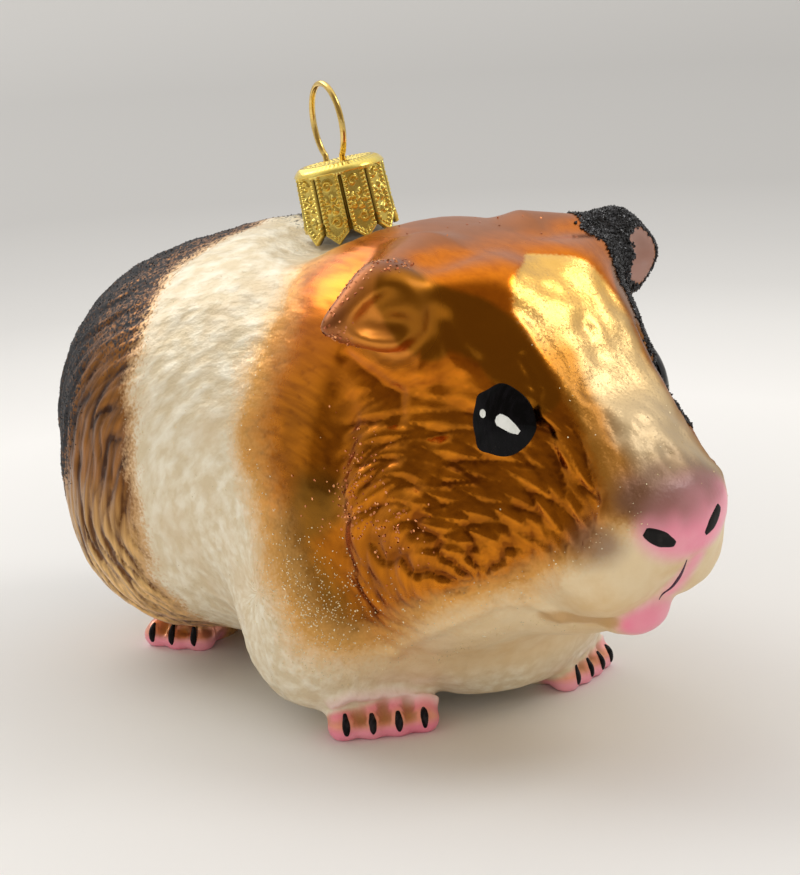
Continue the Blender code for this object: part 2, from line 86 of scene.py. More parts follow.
# The sides of the head are cut flat: which way, how far out and how softly.
TEMPLE = ((0.894, -0.447, 0), 24.2, 3.0)
BLAZE_CENTRE = (0, -36.6, 37.9)
BLAZE_SLOPE = math.radians(49.3)
BLAZE_HALF_SIZE = (5.4, 11.5, 1.2)
BLAZE_ROUNDING = 2.6
BLAZE_DEPTH = 3.1
BLAZE_MELT = 1.6
EAR_CENTRE = (17.2, -23.0, 46.4)
EAR_TIP_WAY = (0.92, 0.33, -0.17)
EAR_FACE_WAY = (0.38, -0.9, 0.19)
EAR_CUP = ((0.4, 0, -0.5), (5.3, 4.5, 2.3))
EAR_HOLLOW = ((-0.1, -0.8, 2.8), (4.1, 3.0, 2.8))
# Where along the ear it starts to narrow, over what length, and by what share.
EAR_TAPER = (-1.0, 7.0, 0.6)
EAR_RIM = 1.0
EAR_SWELLING = ((7.5, -18.8, 45.8), (14.4, -21.0, 47.0), 6.3, 3.6)
EAR_MELT = 2.5
EAR_ROOT_MELT = 1.5
CREASE_Y = -17.2
CREASE_SLOPE = 0.05
CREASE_SLOPE_FROM = 25
CREASE_DEPTH = 0.7
CREASE_WIDTH = 1.6
CREASE_LOW_END = (10, 16)
CREASE_HIGH_END = (41, 33)
# A foot is a place, a turn in degrees and a size, and its toes a number and a reach.
FOREFOOT_RIGHT = ((-11.4, -12.0, 0), -32, 1.0)
FOREFOOT_LEFT = ((10.2, -15.5, 0), 18, 0.92)
HINDFOOT_LEFT = ((7.2, 25.2, 0), 66, 1.0)
HINDFOOT_RIGHT = ((-7.2, 25.2, 0), -66, 1.0)
FOREFOOT_PAD = ((0, 1.0, 2.0), (5.3, 5.4, 3.7))
HINDFOOT_PAD = ((0, 1.0, 1.7), (4.7, 5.8, 3.2))
FORE_TOES = (4, 4.8)
HIND_TOES = (3, 4.9)
TOE_SPACING = 2.6
# A toe's root and tip: the first number, and the tip's second, are shares of its place across the foot.
TOE_ROOT = (0.8, -0.8, 2.6)
TOE_TIP = (1.05, 0.13, 1.3)
TOE_RADIUS = 1.75
TOE_MELT = 1.0
FEET = {
    "forefoot_right": (FOREFOOT_RIGHT, FORE_TOES),
    "forefoot_left": (FOREFOOT_LEFT, FORE_TOES),
    "hindfoot_right": (HINDFOOT_RIGHT, HIND_TOES),
    "hindfoot_left": (HINDFOOT_LEFT, HIND_TOES),
}
BELLY_HEIGHT = 1.8
BELLY_MELT = 1.5
FOOT_MELT = 1.8

# ---- the skin's mesh ----

CELL = 0.41
BLOCK = 4
BLOCK_REACH = 1.6
FIELD_LOW = np.array((-28.0, -52.0, -3.0))
FIELD_HIGH = np.array((28.0, 46.0, 56.0))
PINCH_FILL = 0.05
RELAX_ROUNDS = 2
RELAX_SHARE = 0.5
GLASS_NODES = (
    "trunk", "head", "ear_left", "ear_right",
    "forefoot_left", "forefoot_right", "hindfoot_left", "hindfoot_right",
)

# ---- the moulded fur: lines on arcs round a whorl at (y, z), on both sides alike ----

WHORLS = {"head": (-33.0, 20.0), "body": (-8.0, 16.0), "blaze": (-6.3, 11.8)}
WHORL_RADIUS = 14.0
NOISE_PERIOD = 64
WAVE_SIZE = 6.0
WAVE_SHIFT = 0.9
# Each region's whorl, half a lock's greatest width and its length, how deep the locks and the swells
# are, and the first of its seeds.
FUR = {
    "head": ("head", (1.35, 8.5), 0.6, 0.4, 100),
    "body": ("body", (1.0, 2.6), 0.1, 0.3, 110),
    "rump": ("body", (1.25, 7.0), 0.45, 0.3, 110),
    "blaze": ("blaze", (1.4, 9.0), 0.16, 0.3, 120),
}
LOCK_SLIDE = 0.2
FLATTEST_LOCK = 0.6
LOCK_POINT = 1.8
SWELL_CELL = (2.0, 2.0, 4.5)
DIMPLE_SIZE = 1.8
DIMPLE_DEPTH = 0.11
DIMPLE_SEED = 130
# How much of the fur is left on the cream of the head, on the amber of the body and high on the blaze.
CREAM_FUR = 0.1
AMBER_FUR = 0.4
HIGH_BLAZE_FUR = 0.5

# The glass sinks a little round the cap, on the right and in front.
CAP_BASE = (0, 1.1, 48.3)
CAP_SEAT_DEPTH = 1.1
CAP_SEAT_WAY = math.radians(-149)
CAP_SEAT_STRETCH = (1, 1, 0.5)
CAP_SEAT_SLANT = 0.6

# Creases pressed deeper than the fur, and folds raised (below 0), as a path, a half-width and a depth.
CREASES = (
    (((-7.9, -33.4, 41.6), (-7.8, -35.3, 38.6), (-9.0, -35.5, 36.2), (-8.7, -38.0, 32.3),
      (-8.6, -41.1, 28.1)), 0.6, 0.4),
    (((-16.9, -17.0, 41.0), (-16.1, -20.6, 39.2), (-15.2, -22.9, 37.7), (-15.7, -23.1, 35.6)), 0.9, 0.55),
    (((-13.3, -26.1, 45.6), (-13.0, -26.4, 43.5), (-13.3, -26.9, 39.0)), 1.0, 0.35),
    (((-12.3, -27.2, 45.0), (-11.8, -28.3, 42.6), (-11.0, -30.0, 41.2)), 0.9, 0.35),
    (((-18.6, -22.4, 44.0), (-17.2, -21.6, 42.4), (-15.6, -22.2, 41.4), (-14.6, -24.1, 42.2),
      (-15.0, -25.2, 44.2), (-15.6, -24.2, 45.2)), 1.0, 0.18),
    (((-16.6, -22.9, 46.6), (-14.9, -25.0, 46.9), (-13.8, -26.1, 45.4), (-13.8, -26.2, 43.8),
      (-14.0, -26.1, 42.1), (-14.4, -25.6, 39.8)), 1.0, -0.45),
    (((-12.6, -26.9, 44.6), (-12.2, -27.8, 42.6), (-11.9, -29.0, 41.0)), 0.9, -0.25),
    (((-17.5, -18.3, 35.5), (-18.2, -18.6, 32.5), (-18.6, -17.6, 29.5), (-18.9, -18.2, 24.0),
      (-18.0, -19.5, 18.0)), 1.3, 0.18),
    (((-16.9, -17.2, 36.5), (-18.6, -16.1, 31.5), (-20.2, -15.9, 23.7), (-18.7, -17.0, 16.8),
      (-16.3, -18.8, 11.7)), 1.3, 0.18),
    (((-14.5, -19.2, 9.7), (-15.5, -27.7, 14.7), (-13.3, -32.8, 17.6), (-9.8, -34.8, 17.5),
      (-7.1, -36.1, 15.4)), 0.7, -0.4),
    (((-14.2, -20.4, 8.4), (-14.6, -28.6, 13.4), (-12.2, -33.4, 16.2), (-8.6, -35.5, 15.2)), 1.0, 0.2),
    (((-7.8, -43.4, 29.5), (-8.3, -43.6, 27.7), (-8.8, -42.5, 24.9), (-9.9, -39.4, 20.1)), 0.5, -0.3),
)

# How much of a crease shows as a groove, which the lacquers darken as painted shade.
CREASE_GROOVE = 0.35

# The fold over a forefoot's toes, in the foot's own frame, and the gaps between the toes.
FOOT_FOLD = ((-5.2, -4.8, 4.0), (-3.4, -5.5, 4.9), (-0.8, -4.8, 4.6), (2.4, -3.9, 4.0), (5.3, -3.6, 2.8))
FOOT_FOLD_REACH = 1.28
FOOT_FOLD_HEIGHT = 0.8
UNDER_FOLD_SHARE = 0.8
TOE_GAP_DEPTH = 0.45
TOE_GAP_MARGIN = 0.1

# ---- where the lacquers lie ----

# Paths that the paint follows: the black dusting down the left of the face and then, on the right, the
# ear's dusty rim, the olive shoulder, the throat, the chin and the temple, where a dark band is painted
# shade, a painted dark reflection under the brow.
FACE_DUST_PATH = (
    (12.5, -23.5, 49.0), (12.2, -27.8, 46.2), (11.4, -31.3, 43.5), (10.8, -35.5, 38.4), (9.6, -39.5, 33.0),
)
EAR_RIM_PATH = (
    (-18.2, -21.0, 43.4), (-21.6, -21.4, 45.0), (-20.9, -21.4, 47.8), (-17.7, -21.6, 50.2),
    (-13.6, -22.6, 51.2),
)
OLIVE_PATH = (
    (-21.2, -15.4, 27.0), (-22.2, -12.4, 23.0), (-21.4, -13.4, 19.0), (-20.6, -15.0, 15.5),
    (-19.6, -16.0, 12.0),
)
THROAT_PATH = ((-10.8, -21.8, 8.5), (-11.9, -29.4, 12.9), (-9.6, -32.9, 15.0), (-5.7, -35.9, 14.0))
CHIN_PATH = ((-8.4, -35.6, 15.3), (-6.2, -38.0, 15.2), (-4.2, -39.8, 15.2))
TEMPLE_SHADE_PATH = (
    (-15.2, -24.4, 48.3), (-13.9, -26.2, 44.2), (-13.4, -25.8, 46.2), (-12.2, -26.8, 45.5),
    (-10.4, -28.7, 44.6), (-8.9, -31.0, 43.0), (-8.4, -33.2, 40.6), (-7.9, -35.0, 39.0),
)

# Spots of paint: ellipsoids, and the philtrum's capsule.
NOSE_PAINT = ((0.3, -46.6, 26.2), (6.4, 4.2, 3.9))
LIP_PAINT = ((-0.3, -41.8, 14.7), (3.6, 2.4, 2.2))
PHILTRUM_PAINT = ((1.6, -46.0, 21.8), (1.6, -42.6, 17.4), 1.0, 0.8)
MAUVE_PAINT = ((-1.2, -45.4, 28.6), (6.4, 3.2, 3.3))
SMUDGE_PAINT = ((8.0, -42.6, 24.8), (3.0, 2.8, 2.2))
EAR_DUST_CENTRE = (18.3, -22.3, 47.2)

# The amber's rear edge and the brown's front edge as y at each height, the blaze's half-width at each
# height, the black dusting's front edge on the rump, and the height below which the head is cream, as
# z at each y.
AMBER_EDGE = (
    (13, 16, 19.5, 23, 28, 32.5, 37, 41, 44, 47, 49),
    (-15.1, -13.0, -11.3, -9.4, -8.1, -6.2, -6.1, -6.4, -6.0, -4.9, -7.2),
)
BROWN_EDGE = (
    (9, 13, 19, 25, 30, 35, 39.5, 42.5, 44.5, 46, 47.5, 49),
    (12.2, 12.8, 12.6, 12.5, 12.2, 12.8, 14.3, 16.3, 17.5, 17.1, 15.7, 14.1),
)
DUST_EDGE = (
    (14, 22.5, 28.5, 33.5, 37, 40, 43, 45, 47, 49, 50),
    (32, 23.0, 20.6, 19.8, 19.9, 19.5, 19.2, 18.5, 16.1, 13.2, 9.0),
)
BLAZE_EDGE = ((27, 31.6, 36, 39.5, 43, 46, 48, 49, 50), (8.2, 7.3, 6.2, 6.0, 6.5, 6.3, 5.2, 3.6, -3.0))
CHEEK_EDGE = (
    (-46, -43.5, -42.5, -39.5, -34.4, -30.8, -25.3, -17, -10),
    (30, 28.2, 27.1, 24.3, 21.8, 19.8, 17.0, 12.0, 10.5),
)

# The noise that the lacquers' edges wander by: its size, how far it shifts them, and its seed.
WANDER = ((4.3, 1.3, 41), (1.3, 0.5, 42))

# Each fade runs from 0 at its first value to 1 at its second. The third number is how much of the
# wander is added to the value first.
FADES = {
    "blaze": (0.8, -0.8, 0), "blaze_rear": (-22, -26, 0), "blaze_foot": (26, 29, 0),
    "amber": (6.0, -4.5, 1), "above_cream": (-6.0, 3.0, 0.7), "flank_top": (46, 41, 0),
    "ear": (7.0, 4.5, 0), "crown": (34, 46, 0), "crest": (50.0, 51.3, 0.4), "crest_front": (-29, -26, 0),
    "temple_shade": (3.3, 2.6, 0.15), "brown": (-3.2, 3.4, 0.8), "body": (-1.2, 1.2, 0), "feet": (0.5, 0.05, 0),
    "olive": (4.6, 1.6, 0.6), "under_chin": (-13, -19, 0), "off_ground": (4, 8, 0),
    "back_left": (-5, 3, 0.5), "back_top": (36, 42, 0), "back_front": (3, 8, 0), "rump": (0.4, 6.6, 0.7),
    "veil": (31, 42, 0), "ear_dust": (8.2, 6.4, 0), "face_dust": (3.0, 1.6, 0),
    "pink": (1.2, -0.9, 0), "mauve": (1.6, -1.4, 0.5), "smudge": (1.5, -1.2, 0.4),
    "sole": (2.0, 0.9, 0), "salmon": (6.6, 4.6, 0), "toe_gap": (1.0, 2.2, 0), "tan": (1.5, 0.8, 0),
    "ear_rim": (2.4, 0.9, 0.3), "inner_ear": (0.75, 0.25, 0),
    "near_foot": (10, 8, 0), "toe_front": (-2, -4, 0), "toe_end": (-0.5, -2.5, 0),
    "ground": (3, 1, 0), "head_fur": (42, 34, 0), "blaze_fur": (39, 32, 0),
    "cap_seat": (11, 5, 0), "cap_seat_side": (6, -1, 0), "cap_seat_turn": (-0.3, 0.6, 0),
    "tufts": (4, 13, 0), "crown_flakes": (49, 51.5, 0), "border_low": (44, 26, 0),
    "border_inside": (0.03, 0.2, 0), "behind_face": (-24, -16, 0), "throat": (1.6, 0.3, 0),
    "above_feet": (4, 7, 0), "ear_grit": (-12, -18, 0),
}
# How far the wander shifts the blaze's sides, how far inside them the flank's painted shade starts on
# the right and on the left and how wide its fade is, and how strong some of the zones are.
BLAZE_WANDER = 0.3
FLANK_WANDER = 0.6
FLANK_INSETS = (-4.4, -1.9)
FLANK_FADE = 2.2
EAR_OFF_CROWN = 0.9
BACK_DUST = 0.8
VEIL_DUST = 0.6
SMUDGE_SHARE = 0.85
TOE_PINK = 0.2


def smooth_min(one, other, reach):
    """The lesser of two fields, melted together where they differ by less than the reach."""
    share = np.clip(0.5 + 0.5 * (other - one) / reach, 0, 1)
    return other * (1 - share) + one * share - reach * share * (1 - share)


def smooth_max(one, other, reach):
    return -smooth_min(-one, -other, reach)


def ellipsoid(points, centre, radii):
    """About how far each point is outside an ellipsoid; negative inside."""
    offset = points - np.array(centre)
    near = np.linalg.norm(offset / np.array(radii), axis=-1)
    steep = np.linalg.norm(offset / np.square(radii), axis=-1)
    return near * (near - 1) / np.maximum(steep, 1e-9)


def swollen_ellipsoid(points, centre, radii, squareness):
    offset = points - np.array(centre)
    scaled = np.abs(offset / np.array(radii)) ** squareness
    near = np.maximum(scaled.sum(axis=-1) ** (1 / squareness), 1e-6)
    return (near - 1) * np.linalg.norm(offset, axis=-1) / near


def capsule(points, start, end, start_radius, end_radius):
    start, end = np.array(start), np.array(end)
    axis = end - start
    along = np.clip((points - start) @ axis / (axis @ axis), 0, 1)
    spread = np.linalg.norm(points - start - along[..., None] * axis, axis=-1)
    return spread - (start_radius + (end_radius - start_radius) * along)


def rounded_box(points, half_size, rounding):
    beyond = np.abs(points) - np.array(half_size)
    outside = np.linalg.norm(np.maximum(beyond, 0), axis=-1)
    return outside + np.minimum(beyond.max(axis=-1), 0) - rounding


def melt(field, points, volume):
    centre, radii, reach = volume
    return smooth_min(field, ellipsoid(points, centre, radii), reach)


def left_side(points):
    """The points with those of the right side mirrored to the left."""
    return points * (0, 1, 1) + np.abs(points * (1, 0, 0))


def ear_axes():
    """Columns: towards the tip, across the ear, and the way the cup opens."""
    tip = Vector(EAR_TIP_WAY).normalized()
    face = Vector(EAR_FACE_WAY)
    face = (face - face.dot(tip) * tip).normalized()
    return np.array((tip, face.cross(tip), face)).T


def ear_field(points):
    local = (points - np.array(EAR_CENTRE)) @ ear_axes()
    taper_start, taper_length, taper = EAR_TAPER
    towards_tip = np.clip((local[..., 0] - taper_start) / taper_length, 0, 1)
    local[..., 1] /= 1 - taper * towards_tip
    ear = smooth_min(ellipsoid(local, *EAR_CUP), capsule(points, *EAR_SWELLING), EAR_MELT)
    return smooth_max(ear, -ellipsoid(local, *EAR_HOLLOW), EAR_RIM)


def blaze_field(points):
    along = np.array((0, math.cos(BLAZE_SLOPE), math.sin(BLAZE_SLOPE)))
    out = np.array((0, -along[2], along[1]))
    middle = np.array(BLAZE_CENTRE) - out * BLAZE_DEPTH
    local = (points - middle) @ np.array(((1, 0, 0), along, out)).T
    return rounded_box(local, BLAZE_HALF_SIZE, BLAZE_ROUNDING)


def head_field(points, paired):
    temple_way, temple_distance, temple_reach = TEMPLE
    head = swollen_ellipsoid(points, *HEAD)
    head = smooth_max(head, paired @ np.array(temple_way) - temple_distance, temple_reach)
    head = melt(head, paired, HEAD_PAIRS["cheek"])
    for name in ("muzzle", "chin"):
        head = melt(head, points, HEAD_VOLUMES[name])
    head = smooth_min(head, blaze_field(points), BLAZE_MELT)
    head = smooth_min(head, capsule(paired, *BROW[:4]), BROW[4])
    for name in ("eye_mound", "whisker_pad"):
        head = melt(head, paired, HEAD_PAIRS[name])
    for name in ("nose", "lower_lip"):
        head = melt(head, points, HEAD_VOLUMES[name])
    return head


def ramp(values, start, end):
    """0 at the start and 1 at the end, and level beyond them."""
    return np.clip((values - start) / (end - start), 0, 1)


def crease_depth(points):
    height = points[..., 2]
    beside = points[..., 1] - CREASE_Y - CREASE_SLOPE * (height - CREASE_SLOPE_FROM)
    ends = ramp(height, *CREASE_LOW_END) * ramp(height, *CREASE_HIGH_END)
    return CREASE_DEPTH * np.exp(-np.square(beside / CREASE_WIDTH)) * ends


def toe_line(toe, toes):
    """The root and tip of a toe in its foot's own frame."""
    toe_count, toe_reach = toes
    side = (toe - (toe_count - 1) / 2) * TOE_SPACING
    root = (TOE_ROOT[0] * side, TOE_ROOT[1], TOE_ROOT[2])
    tip = (TOE_TIP[0] * side, TOE_TIP[1] * abs(side) - toe_reach, TOE_TIP[2])
    return root, tip


def foot_spin(place):
    return np.array(Matrix.Rotation(math.radians(place[1]), 3, "Z"))


def in_foot(points, place):
    """The points in a foot's own frame."""
    centre, _, size = place
    return (points - np.array(centre)) @ foot_spin(place) / size


def foot_field(points, place, pad, toes):
    local = in_foot(points, place)
    foot = ellipsoid(local, *pad)
    for toe in range(toes[0]):
        root, tip = toe_line(toe, toes)
        foot = smooth_min(foot, capsule(local, root, tip, TOE_RADIUS, TOE_RADIUS), TOE_MELT)
    return foot * place[2]


def feet_field(points, paired):
    feet = foot_field(points, FOREFOOT_RIGHT, FOREFOOT_PAD, FORE_TOES)
    feet = np.minimum(feet, foot_field(points, FOREFOOT_LEFT, FOREFOOT_PAD, FORE_TOES))
    return np.minimum(feet, foot_field(paired, HINDFOOT_LEFT, HINDFOOT_PAD, HIND_TOES))


def glass_field(points):
    """Negative inside the glass."""
    paired = left_side(points)
    glass = swollen_ellipsoid(points, *TRUNK)
    glass = melt(glass, paired, HAUNCH)
    for volume in BODY_VOLUMES.values():
        glass = melt(glass, points, volume)
    glass = smooth_min(glass, head_field(points, paired), HEAD_MELT)
    glass = glass + crease_depth(points)
    glass = smooth_min(glass, ear_field(paired), EAR_ROOT_MELT)
    glass = smooth_max(glass, BELLY_HEIGHT - points[..., 2], BELLY_MELT)
    return smooth_min(glass, feet_field(points, paired), FOOT_MELT)


def field_slope(points, step=0.05):
    """The field's gradient, by differences, for an N x 3 array of points."""
    slope = np.empty_like(points)
    for axis, way in enumerate(np.eye(3) * step):
        slope[:, axis] = (glass_field(points + way) - glass_field(points - way)) / (2 * step)
    return slope


def on_surface(points, rounds=3, longest_step=0.25):
    """The points moved along the field's slope onto the glass."""
    for _ in range(rounds):
        slope = field_slope(points)
        steepness = np.linalg.norm(slope, axis=1)
        step = np.clip(glass_field(points) / steepness, -longest_step, longest_step)
        points = points - slope * (step / steepness)[:, None]
    return points


def around(count):
    """That many angles evenly round a circle."""
    return math.tau * np.arange(count) / count


def round_points(radius, height, angles):
    places = (radius * np.cos(angles), radius * np.sin(angles), height)
    return np.stack(np.broadcast_arrays(*places), axis=-1)


def unit(vectors):
    return vectors / np.linalg.norm(vectors, axis=-1, keepdims=True)


# ---- meshing the field ----


def grid_points(low, step, counts):
    axes = [start + step * np.arange(count) for start, count in zip(low, counts)]
    return np.stack(np.meshgrid(*axes, indexing="ij"), axis=-1)


def spread(values, times):
    """Each value repeated that many times along every axis."""
    for axis in range(3):
        values = np.repeat(values, times, axis=axis)
    return values


def field_samples():
    """The field on a grid of cells, in full only in the blocks that the surface may cross."""
    size = CELL * BLOCK
    counts = np.ceil((FIELD_HIGH - FIELD_LOW) / size).astype(int)
    blocks = glass_field(grid_points(FIELD_LOW + CELL * (BLOCK - 1) / 2, size, counts))
    values = spread(blocks, BLOCK)
    close = spread(np.abs(blocks) < BLOCK_REACH * size, BLOCK)
    cells = grid_points(FIELD_LOW, CELL, counts * BLOCK)
    values[close] = glass_field(cells[close])
    return values


def fill_pinches(values):
    """Fills the grid corners where two sheets of the surface would meet along one edge."""
    while True:
        pinched = np.zeros(values.shape, bool)
        for axis in range(3):
            faces = np.moveaxis(values, axis, 0) < 0
            near, far = faces[:, :-1], faces[:, 1:]
            crossed = (near[..., :-1] == far[..., 1:]) & (near[..., 1:] == far[..., :-1])
            crossed &= near[..., :-1] != near[..., 1:]
            marked = np.moveaxis(pinched, axis, 0)
            for rows in (slice(None, -1), slice(1, None)):
                for columns in (slice(None, -1), slice(1, None)):
                    marked[:, rows, columns] |= crossed
        pinched &= values >= 0
        if not pinched.any():
            return values
        values = np.where(pinched, -PINCH_FILL, values)


def surface_net(values):
    """Points and quads of the zero surface, with one point in each cell that it crosses."""
    sums = np.zeros((*values.shape, 3))
    counts = np.zeros(values.shape)
    steps = np.eye(3, dtype=int)
    quads = []
    for axis in range(3):
        side, up = steps[(axis + 1) % 3], steps[(axis + 2) % 3]
        edges = np.argwhere(np.diff(values < 0, axis=axis))
        start = values[tuple(edges.T)]
        end = values[tuple((edges + steps[axis]).T)]
        crossings = edges + np.outer(start / (start - end), steps[axis])
        ring = [edges - side - up, edges - up, edges, edges - side]
        for cells in ring:
            np.add.at(sums, tuple(cells.T), crossings)
            np.add.at(counts, tuple(cells.T), 1)
        loops = np.stack([np.ravel_multi_index(cells.T, values.shape) for cells in ring], axis=1)
        loops[start > 0] = loops[start > 0][:, ::-1]
        quads.append(loops)
    used, quads = np.unique(np.concatenate(quads), return_inverse=True)
    points = sums.reshape(-1, 3)[used] / counts.reshape(-1)[used][:, None]
    return FIELD_LOW + CELL * points, quads.reshape(-1, 4)


def relaxed(points, quads):
    """The points evened out along the surface."""
    for _ in range(RELAX_ROUNDS):
        sums = np.zeros_like(points)
        counts = np.zeros(len(points))
        for one, other in ((0, 1), (1, 2), (2, 3), (3, 0)):
            for here, there in ((one, other), (other, one)):
                np.add.at(sums, quads[:, here], points[quads[:, there]])
                np.add.at(counts, quads[:, here], 1)
        points = points + RELAX_SHARE * (sums / counts[:, None] - points)
        points = on_surface(points, rounds=1)
    return on_surface(points)


# ---- noise and the lie of the fur ----


def noise(points, seed):
    """Smooth noise from -1 to 1 that swings about once in each unit."""
    lattice = np.random.default_rng(seed).uniform(-1, 1, (NOISE_PERIOD,) * 3)
    cell = np.floor(points).astype(int)
    part = points - cell
    part = part * part * (3 - 2 * part)
    total = np.zeros(len(points))
    for corner in itertools.product((0, 1), repeat=3):
        share = np.where(corner, part, 1 - part).prod(axis=1)
        total += share * lattice[tuple(((cell + corner) % NOISE_PERIOD).T)]
    return total


def lie(points, whorl):
    """Two coordinates across the fur's lines and one along them."""
    forward, up = points[:, 1] - whorl[0], points[:, 2] - whorl[1]
    return np.stack((points[:, 0], np.hypot(forward, up), WHORL_RADIUS * np.arctan2(forward, up)), axis=1)


def fur(points, whorl, size, seed):
    """The fur's locks, from 0 between them to 1 along their middles, and its swells, from -1 to 1.

    The locks are lens shapes in rows, each row slid by about half a lock from the next.
    """
    half_width, length = size
    waves = np.stack([noise(points / WAVE_SIZE, seed + i) for i in range(3)], axis=1) * WAVE_SHIFT
    combed = lie(points, whorl) + waves
    across = (combed[:, 1] - np.abs(combed[:, 0])) / half_width
    source = np.random.default_rng(seed + 3)
    slides = source.uniform(-LOCK_SLIDE, LOCK_SLIDE, NOISE_PERIOD)
    heights = source.uniform(FLATTEST_LOCK, 1, (NOISE_PERIOD, NOISE_PERIOD))
    locks = np.zeros(len(points))
    for next_row in (0, 1):
        row = np.floor(across).astype(int) + next_row
        place = combed[:, 2] / length + 0.5 * (row % 2) + slides[row % NOISE_PERIOD]
        column = np.floor(place).astype(int)
        lens = np.maximum(1 - np.abs(2 * (place - column) - 1) ** LOCK_POINT, 1e-6)
        height = np.sqrt(lens) * (1 - np.square((across - row) / lens))
        locks = np.maximum(locks, height * heights[row % NOISE_PERIOD, column % NOISE_PERIOD])
    return locks, noise(combed / SWELL_CELL, seed + 4)


def path_distance(points, path):
    """How far each point is from a path of straight legs."""
    legs = [capsule(points, start, end, 0, 0) for start, end in zip(path, path[1:])]
    return np.min(legs, axis=0)


def smooth_ramp(values, start, end):
    share = ramp(values, start, end)
    return share * share * (3 - 2 * share)


def edge_at(values, table):
    """What a table of (values, results) gives at each value."""
    return np.interp(values, *table)


def fade(name, values, wander=0):
    """From 0 to 1 as one of the FADES says."""
    start, end, share = FADES[name]
    return smooth_ramp(values + share * wander, start, end)


def distance(points, centre):
    return np.linalg.norm(points - np.array(centre), axis=-1)


def inner_ear(points):
    """1 in the hollow of an ear and 0 elsewhere."""
    local = (left_side(points) - np.array(EAR_CENTRE)) @ ear_axes()
    return fade("inner_ear", ellipsoid(local, *EAR_HOLLOW))


def foot_marks(points):
    """The shares of the toes' ends, of the gaps between them, of the fold, and of what is under it."""
    ends, gaps, folds, under = [], [], [], []
    for place, toes in FEET.values():
        local = in_foot(points, place)
        near_foot = fade("near_foot", np.linalg.norm(local, axis=1))
        middle = (toes[0] - 1) / 2
        step = local[:, 0] / TOE_SPACING + middle
        between = (np.cos(math.tau * step) < 0) & (np.abs(step - middle) < middle - TOE_GAP_MARGIN)
        gap = np.square(np.sin(math.pi * step)) * between
        gaps.append(gap * fade("toe_front", local[:, 1]) * near_foot)
        ends.append(fade("toe_end", local[:, 1]) * near_foot)
        if toes == FORE_TOES:
            away = path_distance(local, FOOT_FOLD)
            folds.append(smooth_ramp(away, FOOT_FOLD_REACH, 0))
            under.append(UNDER_FOLD_SHARE * smooth_ramp(away, 2 * FOOT_FOLD_REACH, FOOT_FOLD_REACH))
    return [np.max(marks, axis=0) for marks in (ends, gaps, folds, under)]


def muzzle_zones(points, paired, wander):
    """The shares of the pink, and of the mauve over the nose with the smudge beside it."""
    nose, lip = ellipsoid(points, *NOSE_PAINT), ellipsoid(points, *LIP_PAINT)
    pink = fade("pink", np.min((nose, lip, capsule(points, *PHILTRUM_PAINT)), axis=0))
    mauve = fade("mauve", ellipsoid(points, *MAUVE_PAINT), wander)
    smudge = fade("smudge", ellipsoid(paired, *SMUDGE_PAINT), wander)
    return pink, np.maximum(mauve, SMUDGE_SHARE * smudge)


def dust_zone(points, wander, brown, inner_left_ear):
    """The share of the black dust, on the back, the rump, the left ear and the left of the face."""
    x, y, z = points.T
    back = fade("back_left", x, wander) * fade("back_top", z) * fade("back_front", y)
    rump = fade("rump", y - edge_at(z, DUST_EDGE), wander)
    veil = VEIL_DUST * brown * fade("veil", z)
    ear = fade("ear_dust", distance(points, EAR_DUST_CENTRE)) * (1 - inner_left_ear)
    face = fade("face_dust", path_distance(points, FACE_DUST_PATH))
    return np.max((BACK_DUST * back, BACK_DUST * rump, veil, ear, face), axis=0)


def zones(points):
    """The share of each lacquer at each point, from 0 to 1."""
    x, y, z = points.T
    paired = left_side(points)
    right = paired * (-1, 1, 1)
    wander = sum(shift * noise(points / size, seed) for size, shift, seed in WANDER)
    blaze_half_width = edge_at(z, BLAZE_EDGE)
    blaze = fade("blaze", np.abs(x + BLAZE_WANDER * wander) - blaze_half_width)
    blaze *= fade("blaze_rear", y) * fade("blaze_foot", z)
    amber_start, amber_end, _ = FADES["amber"]
    amber = ramp(y - edge_at(z, AMBER_EDGE) + wander, amber_start, amber_end)
    amber *= fade("above_cream", z - edge_at(y, CHEEK_EDGE), wander)
    inset = np.where(x < 0, *FLANK_INSETS)
    flank_shade = smooth_ramp(np.abs(x + FLANK_WANDER * wander) - blaze_half_width, inset, inset + FLANK_FADE)
    ear = fade("ear", distance(paired, EAR_CENTRE))
    crest = fade("crest", z, wander) * fade("crest_front", y)
    # The temple's share of painted shade: a dark reflection under the brow, painted on both sides.
    temple_shade = fade("temple_shade", path_distance(right, TEMPLE_SHADE_PATH), wander)
    brown = fade("brown", y - edge_at(z, BROWN_EDGE), wander)
    feet = fade("feet", feet_field(points, paired))
    toes, gaps, fold, under_fold = foot_marks(points)
    pink, mauve = muzzle_zones(points, paired, wander)
    inner_left_ear = inner_ear(points) * (x > 0)
    return {
        "brown": brown,
        "amber": amber,
        "crown": fade("crown", z) * (1 - EAR_OFF_CROWN * ear),
        "ear": ear,
        "crest": crest * (1 - blaze),
        "temple_shade": temple_shade * (1 - blaze),
        "body": fade("body", y - CREASE_Y),
        "blaze": blaze,
        "flank_shade": flank_shade * fade("flank_top", z),
        "dust": dust_zone(points, wander, brown, inner_left_ear),
        "pink": np.maximum(pink, feet * np.maximum(toes * np.maximum(fade("sole", z), TOE_PINK), under_fold)),
        "mauve": mauve,
        "salmon": feet * toes * fade("salmon", z),
        "toe_gap": feet * gaps * fade("toe_gap", z),
        "fold": fold,
        "olive": fade("olive", path_distance(right, OLIVE_PATH), wander),
        "warm": fade("under_chin", y) * fade("off_ground", z) * (1 - pink),
        "tan": fade("tan", path_distance(right, CHIN_PATH)),
        "ear_rim": fade("ear_rim", path_distance(points, EAR_RIM_PATH), wander),
        "ear_pink": inner_left_ear,
    }


